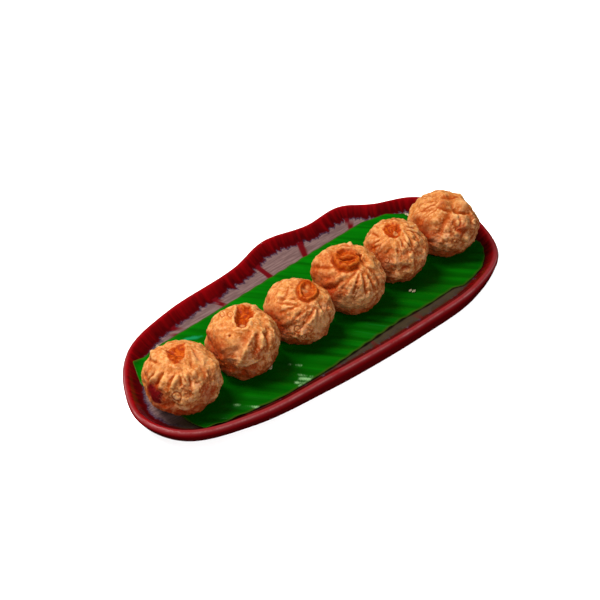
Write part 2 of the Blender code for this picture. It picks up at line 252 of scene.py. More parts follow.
def closed_curve(points, samples):
    """A smooth closed curve through the points, with evenly spaced samples."""
    points = np.asarray(points, float)
    count = len(points)
    fine = []
    for i in range(count):
        before, start, end, after = (points[(i + k) % count] for k in (-1, 0, 1, 2))
        length = np.linalg.norm(end - start)
        lead_in, along, lead_out = unit(start - before), unit(end - start), unit(after - end)
        start_slope = unit(lead_in + along) * length
        end_slope = unit(along + lead_out) * length
        # A cubic curve from one point to the next, with these slopes at its ends.
        bends = (start, start_slope, end, end_slope)
        for t in np.linspace(0.0, 1.0, BETWEEN, endpoint=False):
            weights = (2 * t ** 3 - 3 * t ** 2 + 1, t ** 3 - 2 * t ** 2 + t,
                       3 * t ** 2 - 2 * t ** 3, t ** 3 - t ** 2)
            fine.append(sum(weight * bend for weight, bend in zip(weights, bends)))
    # Points at even distances along that curve.
    loop = np.vstack([fine, fine[:1]])
    run = np.concatenate([[0.0], np.cumsum(np.linalg.norm(np.diff(loop, axis=0), axis=1))])
    wanted = np.linspace(0.0, run[-1], samples, endpoint=False)
    return np.column_stack([np.interp(wanted, run, loop[:, axis]) for axis in (0, 1)])


measured = closed_curve(RIM_PLAN, MODEL_ROUND)
RIM_MIDDLE = (measured.min(axis=0) + measured.max(axis=0)) / 2
rim = closed_curve(RIM_PLAN, ROUND) - RIM_MIDDLE
print("rim, mm:", np.round(rim.min(axis=0), 1), np.round(rim.max(axis=0), 1))

# %% Section of the wall
# Each section is a row of (distance from the rim, height) in mm. The outside leans out further
# towards the left end.
FLOOR_Z, RIM_Z, RECESS_Z = 9.5, 15.5, 3.0
INSIDE = [(11.5, FLOOR_Z), (10.4, 9.58), (9.2, 9.9), (7.2, 11.1), (5.2, 13.2), (3.8, 14.9),
          (2.9, 15.38), (2.2, RIM_Z), (1.4, 15.38), (0.7, 14.8), (0.2, 14.0), (0.0, 13.2)]
OUTSIDE = [(0.05, 12.3), (0.4, 11.4), (1.1, 8.9), (2.0, 6.2), (3.2, 3.6), (4.4, 1.5), (5.0, 0.5),
           (5.6, 0.0)]
FOOT_RING = [(4.9, 0.0), (5.4, 0.9), (6.1, 2.6), (6.4, RECESS_Z)]
LEAN, LEAN_LEFT = 0.8, 1.8
LEAN_FROM, LEAN_TO = -20.0, -150.0


def refine(section, times):
    """More points along a section, on straight runs between close points."""
    section = np.asarray(section, float)
    steps = np.linspace(0.0, len(section) - 1, (len(section) - 1) * times + 1)
    return np.column_stack([np.interp(steps, np.arange(len(section)), section[:, axis])
                            for axis in (0, 1)])


def smooth_section(section, times, rounds):
    """A refined section with its corners rounded, its two ends kept."""
    section = refine(section, times)
    for _ in range(rounds):
        section[1:-1] = (section[:-2] + 2 * section[1:-1] + section[2:]) / 4
    return section


inside = smooth_section(INSIDE, 4, 6)
outside = smooth_section(OUTSIDE, 3, 4)
print("section points:", len(inside), len(outside))

# %% Sweep the section round the rim
def inset(outline, distance):
    along = unit(np.roll(outline, -1, axis=0) - np.roll(outline, 1, axis=0))
    inwards = np.column_stack([-along[:, 1], along[:, 0]])
    return outline + inwards * distance


lean = LEAN + (LEAN_LEFT - LEAN) * smooth_step(LEAN_FROM, LEAN_TO, rim[:, :1])
foot = OUTSIDE[-1][0] * lean
sweep = [(distance, distance, height) for distance, height in inside]
sweep += [(-distance, distance * lean, height) for distance, height in outside]
sweep += [(-OUTSIDE[-1][0] - distance, foot + distance, height) for distance, height in FOOT_RING]
plate_points, plate_rows, rim_mark, inset_mark = [], [], [], []
for shown_inset, distance, height in sweep:
    row = inset(rim, distance)
    plate_rows.append(list(range(len(plate_points), len(plate_points) + ROUND)))
    plate_points.extend((x, y, height) for x, y in row)
    rim_mark.extend((x, y, 0.0) for x, y in rim)
    inset_mark.extend([shown_inset] * ROUND)

# %% Close the floor and the underside
# The rows shrink to a line along the middle, this share of the plate's length. Their marks of
# how far they lie from the rim start past the wall's and grow by this to the middle.
SPINE_SHARE = 0.45
FLOOR_MARK, MARK_RUN = 12.0, 50.0
FLOOR_ROWS, UNDER_ROWS = 8, 3


def shrink_rows(row_numbers, height, steps, sign):
    """Rows of points from a closed row in to the middle, so the floor has even faces."""
    edge = np.array([plate_points[i][:2] for i in row_numbers])
    spine = np.column_stack([edge[:, 0] * SPINE_SHARE, np.zeros(len(edge))])
    rows = [row_numbers]
    for share in np.linspace(0.0, 1.0, steps + 1)[1:]:
        row = edge * (1 - share) + spine * share
        rows.append(list(range(len(plate_points), len(plate_points) + ROUND)))
        plate_points.extend((x, y, height) for x, y in row)
        rim_mark.extend((x, y, 0.0) for x, y in rim)
        inset_mark.extend([sign * (FLOOR_MARK + MARK_RUN * share)] * ROUND)
    return rows


floor_rows = shrink_rows(plate_rows[0], FLOOR_Z, FLOOR_ROWS, 1.0)
under_rows = shrink_rows(plate_rows[-1], RECESS_Z, UNDER_ROWS, -1.0)
plate_faces = []
for rows, turned in ((plate_rows, True), (floor_rows, False), (under_rows, True)):
    for first, second in zip(rows, rows[1:]):
        plate_faces.extend(band(second, first) if turned else band(first, second))
print("plate:", len(plate_points), "points")

# %% [markdown]
# ## The plate's glaze
# A dark red glaze covers the rim. It runs thin and streaky down the wall, pools in a
# blue-purple fringe at its foot, and leaves the floor a warm brushed grey with a few red
# stripes laid across it. The streaks follow the rim, so they are drawn from the rim point
# that each point hangs from, stretched along the way down the wall.

# %% Red glaze, fringe, floor and stripes
# Stripes as (start, end, half width) on the floor, in mm.
STRIPES = [((-83.5, 36.0), (-80.5, 50.0), 1.7), ((-43.5, 30.0), (-41.5, 53.0), 1.9),
           ((0.5, 36.0), (2.5, 60.0), 2.0), ((35.0, 42.0), (45.5, 61.0), 2.1),
           ((82.5, 43.0), (89.0, 57.0), 1.8), ((-31.0, -64.0), (-29.5, -50.0), 1.2),
           ((0.0, -66.0), (1.5, -50.0), 1.2), ((41.0, -68.0), (42.5, -52.0), 1.3)]
# How far a stripe's edge blurs, and how far it wavers.
STRIPE_BLUR, STRIPE_WAVER = 0.7, 1.1


def stripe_mark(points, stripes):
    """How far a point lies inside one of the stripes, from 0 to 1."""
    places = np.asarray(points)[:, :2]
    waver = cloud(np.column_stack([places, np.zeros(len(places))]), 6.0, 2.0)
    total = np.zeros(len(places))
    for start, end, half_width in stripes:
        start, end = np.array(start), np.array(end)
        along = np.clip((places - start) @ (end - start) / np.sum((end - start) ** 2), 0.0, 1.0)
        away = np.linalg.norm(places - start - along[:, None] * (end - start), axis=1)
        away += STRIPE_WAVER * waver
        inside_stripe = 1.0 - smooth_step(half_width - STRIPE_BLUR, half_width + STRIPE_BLUR, away)
        total = np.maximum(total, inside_stripe)
    return total


def glaze_finish():
    glaze = Finish("red glaze")
    rim_place = glaze.mark("rim_place", "Vector")
    inward = glaze.mark("inward")
    stripe = glaze.mark("stripe")
    streaks = glaze.mottle(3.4, 3.0, 0.55, rim_place)
    slow = glaze.mottle(14.0, 3.0, 0.5, rim_place)
    patches = glaze.mottle(5.0, 4.0, 0.6)
    specks = glaze.mottle(1.2, 3.0, 0.6)
    near_side = (-rim_place.part("Y")).step(20.0, 45.0)
    left_end = (-rim_place.part("X")).step(95.0, 125.0)
    # Down the wall the red goes from bright to nearly black. Outside the rim the red is darkened as
    # painted shade, and the lip carries a painted dusty-pink reflection with a thin painted
    # highlight line.
    ends = inward + 13.0 * (streaks - 0.5) + 5.0 * (slow - 0.5)
    bright_streaks = streaks.step(0.58, 0.74) * (1 - ends.step(6.0, 9.0)) * 0.6
    lip = inward.step(-0.15, 0.5) * (1.0 - (inward - 1.6 * near_side).step(0.8, 3.2))
    lip_sheen_breakup = (0.50 + 1.2 * (slow - 0.4)).clipped()
    line = inward.step(0.3, 0.9) * (1.0 - inward.step(1.0, 1.6))
    lip_highlight_breakup = (0.25 + 1.6 * (slow - 0.45) + 1.0 * (specks - 0.5)).clipped()
    red = glaze.coats(
        (0.30, 0.0022, 0.0045),
        ((0.17, 0.0013, 0.0026), ends.step(2.0, 5.5)),
        ((0.070, 0.0010, 0.0020), ends.step(5.0, 9.0)),
        ((0.38, 0.006, 0.010), bright_streaks),
        # Painted shade: the outside of the rim darkened.
        ((0.140, 0.0026, 0.0036), (-inward).step(-0.1, 1.0) * 0.95),
        # Painted reflection on the lip, then a painted highlight line along it.
        ((0.230, 0.038, 0.042), lip * lip_sheen_breakup),
        ((0.52, 0.190, 0.190), line * lip_highlight_breakup))
    # The floor is a warm grey brushed along the plate, browner on the near side.
    long_place = glaze.node("ShaderNodeVectorMath", {"operation": "MULTIPLY"},
                            {0: glaze.place, 1: (0.07, 1.0, 1.0)})
    brush = glaze.mottle(1.0, 4.0, 0.6, long_place, 0.2)
    floor = glaze.coats(
        (0.150, 0.085, 0.082),
        ((0.235, 0.145, 0.138), brush.step(0.40, 0.60)),
        ((0.120, 0.062, 0.064), patches.step(0.5, 0.75) * 0.40),
        ((0.085, 0.050, 0.022), near_side * 0.85),
        ((0.36, 0.26, 0.24), specks.step(0.66, 0.8) * 0.35))
    # The fringe lies where red runs into grey, calmer at the left end. Stripes come last.
    drips = 12.0 * (streaks - 0.5) * (1.0 - 0.8 * left_end)
    fringe_line = inward - 0.6 + 4.0 * (patches - 0.5) + drips
    fringe = glaze.tint((0.030, 0.010, 0.026), (0.120, 0.070, 0.105), specks.step(0.42, 0.64))
    painted = stripe * inward.step(9.0, 10.0)
    paint = (painted * (1.15 - 0.7 * near_side + 0.5 * (specks - 0.5))).clipped()
    colour = glaze.coats(
        red,
        (fringe, fringe_line.step(9.6, 10.8)),
        (floor, fringe_line.step(10.8, 12.8)),
        ((0.042, 0.032, 0.016), near_side * inward.step(9.0, 11.0) * 0.8),
        ((0.135, 0.003, 0.006), paint))
    gloss = 0.10 + 0.10 * patches + 0.30 * inward.step(9.5, 13.0) * (1 - painted * 0.5)
    bumps = glaze.relief(slow, 0.9)
    bumps = glaze.relief(brush * inward.step(10.5, 13.5), 0.10, bumps)
    bumps = glaze.relief(specks, 0.035, bumps)
    return glaze.finish({"Specular IOR Level": 0.12},
                        Base_Color=colour, Roughness=gloss, Normal=bumps)


make_piece("glazed_plate", plate_points, plate_faces, glaze_finish(), "plate",
           {"rim_place": rim_mark, "inward": inset_mark,
            "stripe": stripe_mark(plate_points, STRIPES)})

# %% [markdown]
# ## The banana leaf
# The leaf is a strip cut across its own ribs, so the ribs run over it side by side. It is a
# thin sheet that follows the plate's floor and climbs a little up the wall at its ends. A
# grid is the plain way to make it, because height is then a sum of waves at each point. The
# row of dumplings presses it flat.

# %% Edges of the strip
LEAF_FAR = [(-131, 15), (-123.5, 32), (-97.5, 36), (-50.5, 37.5), (-3.5, 39.5), (60.5, 42),
            (91.5, 43), (112.5, 38), (126.5, 26), (133, 8), (134.5, -28)]
LEAF_NEAR = [(-131, -31), (-128.5, -44.6), (-76.5, -53.8), (-52.0, -54.8), (-35.5, -55.2),
             (30.5, -53), (56.5, -54.5), (80.5, -54), (88.5, -57), (99.5, -55.5), (112.5, -52.5),
             (122.5, -46.5), (130.5, -38.5), (134.5, -32)]
LEAF_THICKNESS = 0.5
LEAF_BED = FLOOR_Z + 0.4
RIPPLE_HEIGHT, RIPPLE_LENGTH, RIPPLE_SLANT = 1.2, 12.0, 0.75
FLAT_HALF_WIDTH, RIPPLE_FADE, BEHIND_SHARE = 17.0, 9.0, 0.55
LEAF_COLUMNS, LEAF_ROWS = 280, 100
# The line along which the dumplings press the leaf flat.
ROW_LINE = [(-121.4, -14.9), (-73.3, -15.1), (-27.3, -16.1), (18.2, -15.5), (63.9, -15.0),
            (110.6, -16.3)]


# Parts in which the distances to the rim are worked out, to save memory.
PARTS = 24


def floor_height(x, y):
    """Height of the plate's upper side over a point of the plan."""
    places = np.column_stack([np.ravel(x), np.ravel(y)])
    outline = rim[::2]
    away = np.concatenate([
        np.sqrt(((part[:, None, :] - outline[None, :, :]) ** 2).sum(axis=2)).min(axis=1)
        for part in np.array_split(places, PARTS)])
    section = np.array(sorted(inside.tolist()))
    return np.interp(away, section[:, 0], section[:, 1]).reshape(np.shape(x))


def rib_phase(x, y):
    """The slanted ribs' wave, in radians. The ribs wander a little."""
    wander = 2.2 * np.sin(x / 31.0) + 1.6 * np.sin(y / 17.0 + x / 53.0)
    return 2.0 * math.pi * (x + RIPPLE_SLANT * y + wander) / RIPPLE_LENGTH


def ripple(x, y):
    """Height of the ribs, which fade towards the row and are flatter behind it."""
    row_y = np.interp(x, *zip(*ROW_LINE))
    fade = smooth_step(FLAT_HALF_WIDTH, FLAT_HALF_WIDTH + RIPPLE_FADE, np.abs(y - row_y))
    strength = (0.65 + 0.35 * np.sin(x / 23.0 + 1.0)) * np.where(y > row_y, BEHIND_SHARE, 1.0)
    return RIPPLE_HEIGHT * fade * strength * (0.5 + 0.5 * np.sin(rib_phase(x, y)))


# %% Lay the grid
# The columns lie closer together near the ends, and the sheet thins towards its cut edge.
EVEN_SHARE, EDGE_SHARE = 0.75, 0.4
spread = np.linspace(-1.0, 1.0, LEAF_COLUMNS + 1)
spread = EVEN_SHARE * spread + (1.0 - EVEN_SHARE) * np.sin(spread * math.pi / 2)
columns = LEAF_FAR[0][0] + (LEAF_FAR[-1][0] - LEAF_FAR[0][0]) * (spread + 1.0) / 2.0
far_edge = np.interp(columns, *zip(*LEAF_FAR))
near_edge = np.interp(columns, *zip(*LEAF_NEAR))
across = np.linspace(0.0, 1.0, LEAF_ROWS + 1)
leaf_x = np.repeat(columns[:, None], LEAF_ROWS + 1, axis=1)
leaf_y = near_edge[:, None] + (far_edge - near_edge)[:, None] * across[None, :]
under_leaf = floor_height(leaf_x, leaf_y) + LEAF_BED - FLOOR_Z + ripple(leaf_x, leaf_y)
edge_away = np.minimum(leaf_y - near_edge[:, None], far_edge[:, None] - leaf_y)
edge_away = np.minimum(edge_away, np.minimum(leaf_x - columns[0], columns[-1] - leaf_x))
full = smooth_step(-0.1, 0.8, edge_away)
top_leaf = under_leaf + LEAF_THICKNESS * (EDGE_SHARE + (1.0 - EDGE_SHARE) * full)
half = leaf_x.size
leaf_points = [*zip(leaf_x.ravel(), leaf_y.ravel(), top_leaf.ravel()),
               *zip(leaf_x.ravel(), leaf_y.ravel(), under_leaf.ravel())]
grid = np.arange(half).reshape(leaf_x.shape)
a, b, c, d = (part.ravel() for part in (grid[:-1, :-1], grid[1:, :-1], grid[1:, 1:], grid[:-1, 1:]))
leaf_faces = [*zip(a.tolist(), b.tolist(), c.tolist(), d.tolist()),
              *zip(*((part + half).tolist() for part in (a, d, c, b)))]
edge = [int(i) for i in [*grid[:, 0], *grid[-1, 1:], *grid[-2::-1, -1], *grid[0, -2:0:-1]]]
leaf_faces.extend(band([i + half for i in edge], edge))
print("leaf, mm:", *(np.round(pick(leaf_points, axis=0), 1) for pick in (np.min, np.max)))

# %% [markdown]
# ## The leaf's skin
# A fresh banana leaf is a saturated green with a waxy shine. Fine veins run beside each other
# along the ribs, the crests carry a painted bluish highlight, the troughs and the near side a
# painted shade where the dumplings' shadow falls, and the cut edge dries to a pale yellow green.
# The veins are a wave of the same slanted coordinate that made the ribs. A few painted glints,
# and a painted blue-green highlight along a bulge, are laid on where they are seen.

# %% Waxy green
# Places of the painted glints, and of the painted blue-green highlight along the leaf's bulge,
# as (start, end, half width) in mm.
PAINTED_GLINTS = [((-102.5, -39.2), (-92.0, -52.6), 0.15), ((-52.8, -35.0), (-48.4, -40.8), 0.10),
          ((-56.2, -45.0), (-50.4, -53.4), 0.25), ((-57.6, -49.4), (-53.6, -53.6), 0.9),
          ((-61.4, -50.0), (-58.0, -53.8), 0.5), ((-50.6, -54.0), (-62.0, -53.8), 0.1)]
PAINTED_BULGE_HIGHLIGHTS = [((-91.5, 29.6), (-82.1, 28.2), 1.1), ((-82.1, 28.2), (-74.9, 23.4), 0.9)]


def leaf_finish():
    leaf = Finish("banana leaf")
    crest = leaf.mark("crest")
    vein_place = leaf.node("ShaderNodeCombineXYZ", {}, {"X": leaf.mark("across_ribs"),
                                                        "Y": leaf.mark("along_ribs") * 0.03})
    veins = leaf.mottle(0.9, 3.0, 0.6, vein_place)
    broad = leaf.mottle(5.0, 3.0, 0.5, vein_place)
    patches = leaf.mottle(22.0, 3.0, 0.5)
    specks = leaf.mottle(0.8, 2.0, 0.6)
    near_side = (-leaf.mark("across_row")).step(18.0, 34.0)
    painted_trough_shade = (-crest).step(-0.30, 0.0)
    painted_crest_highlight = crest.step(0.80, 1.0) * broad.step(0.4, 0.6)
    green = leaf.coats(
        (0.0010, 0.120, 0.0008),
        ((0.0016, 0.180, 0.0014), broad.step(0.36, 0.60)),
        ((0.0008, 0.085, 0.0010), patches.step(0.45, 0.7) * 0.4),
        ((0.006, 0.235, 0.006), veins.step(0.55, 0.75) * 0.3),
        # Painted bluish highlight on the rib crests.
        ((0.012, 0.250, 0.045), painted_crest_highlight * 0.5),
        # Painted shade in the rib troughs, stronger on the near side, then painted shade over the
        # near side where the dumplings' shadow falls.
        ((0.0004, 0.060, 0.0004), painted_trough_shade * (0.20 + 0.45 * near_side)),
        ((0.0004, 0.064, 0.0004), near_side * 0.55),
        ((0.075, 0.062, 0.012), leaf.mark("edge") * (0.30 + 0.5 * specks)),
        # Painted blue-green highlight along the bulge, then painted glints.
        ((0.010, 0.330, 0.130), leaf.mark("bulge") * 0.7),
        ((0.350, 0.700, 0.300), leaf.mark("painted_glint") * (0.40 + 0.8 * specks)))
    gloss = 0.14 + 0.12 * patches + 0.08 * veins
    bumps = leaf.relief(broad, 0.25)
    bumps = leaf.relief(veins, 0.09, bumps)
    return leaf.finish({"Specular IOR Level": 0.07},
                       Base_Color=green, Roughness=gloss, Normal=bumps)


def both(values):
    """The same values for the leaf's upper and under side."""
    return np.tile(np.ravel(values), 2)


make_piece("leaf_strip", leaf_points, leaf_faces, leaf_finish(), "leaf", {
    "across_ribs": both(leaf_x + RIPPLE_SLANT * leaf_y),
    "along_ribs": both(leaf_y - RIPPLE_SLANT * leaf_x),
    "crest": both(ripple(leaf_x, leaf_y) / RIPPLE_HEIGHT),
    "across_row": both(leaf_y),
    # Marks for the painted glints, and below for the painted highlight along the bulge.
    "painted_glint": both(stripe_mark(leaf_points[:half], PAINTED_GLINTS)),
    "bulge": both(stripe_mark(leaf_points[:half], PAINTED_BULGE_HIGHLIGHTS)),
    "edge": both(1.0 - smooth_step(0.3, 1.4, edge_away))})

# %% [markdown]
# ## The dumplings
# Each momo is a bag of dough, pleated by hand round a filling and pinched shut, then fried
# until its skin blisters. Sculpting each would be one way. Here a ball is pushed in and out by
# a sum of reliefs, so every fold can be named and placed: the pinched mouth, the pleats round
# it, single folds, lumps and blisters. Places are (right, up) in mm from the dumpling's middle,
# as seen from the dish's near left side, so they can be read straight off a picture.

# %% The directions of that side
VIEW_AZIMUTH = math.radians(43.76)
VIEW_TILT = math.radians(38.0)
SEEN_RIGHT = np.array([math.cos(VIEW_AZIMUTH), -math.sin(VIEW_AZIMUTH), 0.0])
SEEN_DEPTH = np.array([math.sin(VIEW_AZIMUTH), math.cos(VIEW_AZIMUTH), 0.0])
TOWARDS = np.array([0.0, 0.0, math.sin(VIEW_TILT)]) - SEEN_DEPTH * math.cos(VIEW_TILT)
SEEN_UP = np.array([0.0, 0.0, math.cos(VIEW_TILT)]) + SEEN_DEPTH * math.sin(VIEW_TILT)

# %% Words for the folds
# A stroke is a line raised (or pressed in, where its height is negative). A lump is a round
# swelling. A ring is a raised circle round a hollow. A pocket is an open fold with this outline,
# its depth, how softly it starts, and its lip. A stain is a patch of colour: golden; seared,
# partly seared crust and partly painted shade on the low and shaded sides; burnt, partly burnt
# crust and partly painted shade in pits, slits and pockets; and pale, partly the dough's own
# colour and partly painted highlight on blisters and lips, with one painted lift of a shaded
# belly. Pleats fan out from a place, most strongly on one side. The table below leaves
# these words out: each row holds the values of one stroke, lump, ring or pocket, or a stain's
# place, radius and strength.
Stroke = namedtuple("Stroke", "path width height")
Lump = namedtuple("Lump", "place radius height")
Ring = namedtuple("Ring", "place radius tube height hollow")
Pocket = namedtuple("Pocket", "outline depth softness lip")
Pleats = namedtuple("Pleats", "place start count depth reach side spread phase")
Momo = namedtuple("Momo", "x y size seed pleats strokes lumps stains rings pockets",
                  defaults=([], []))

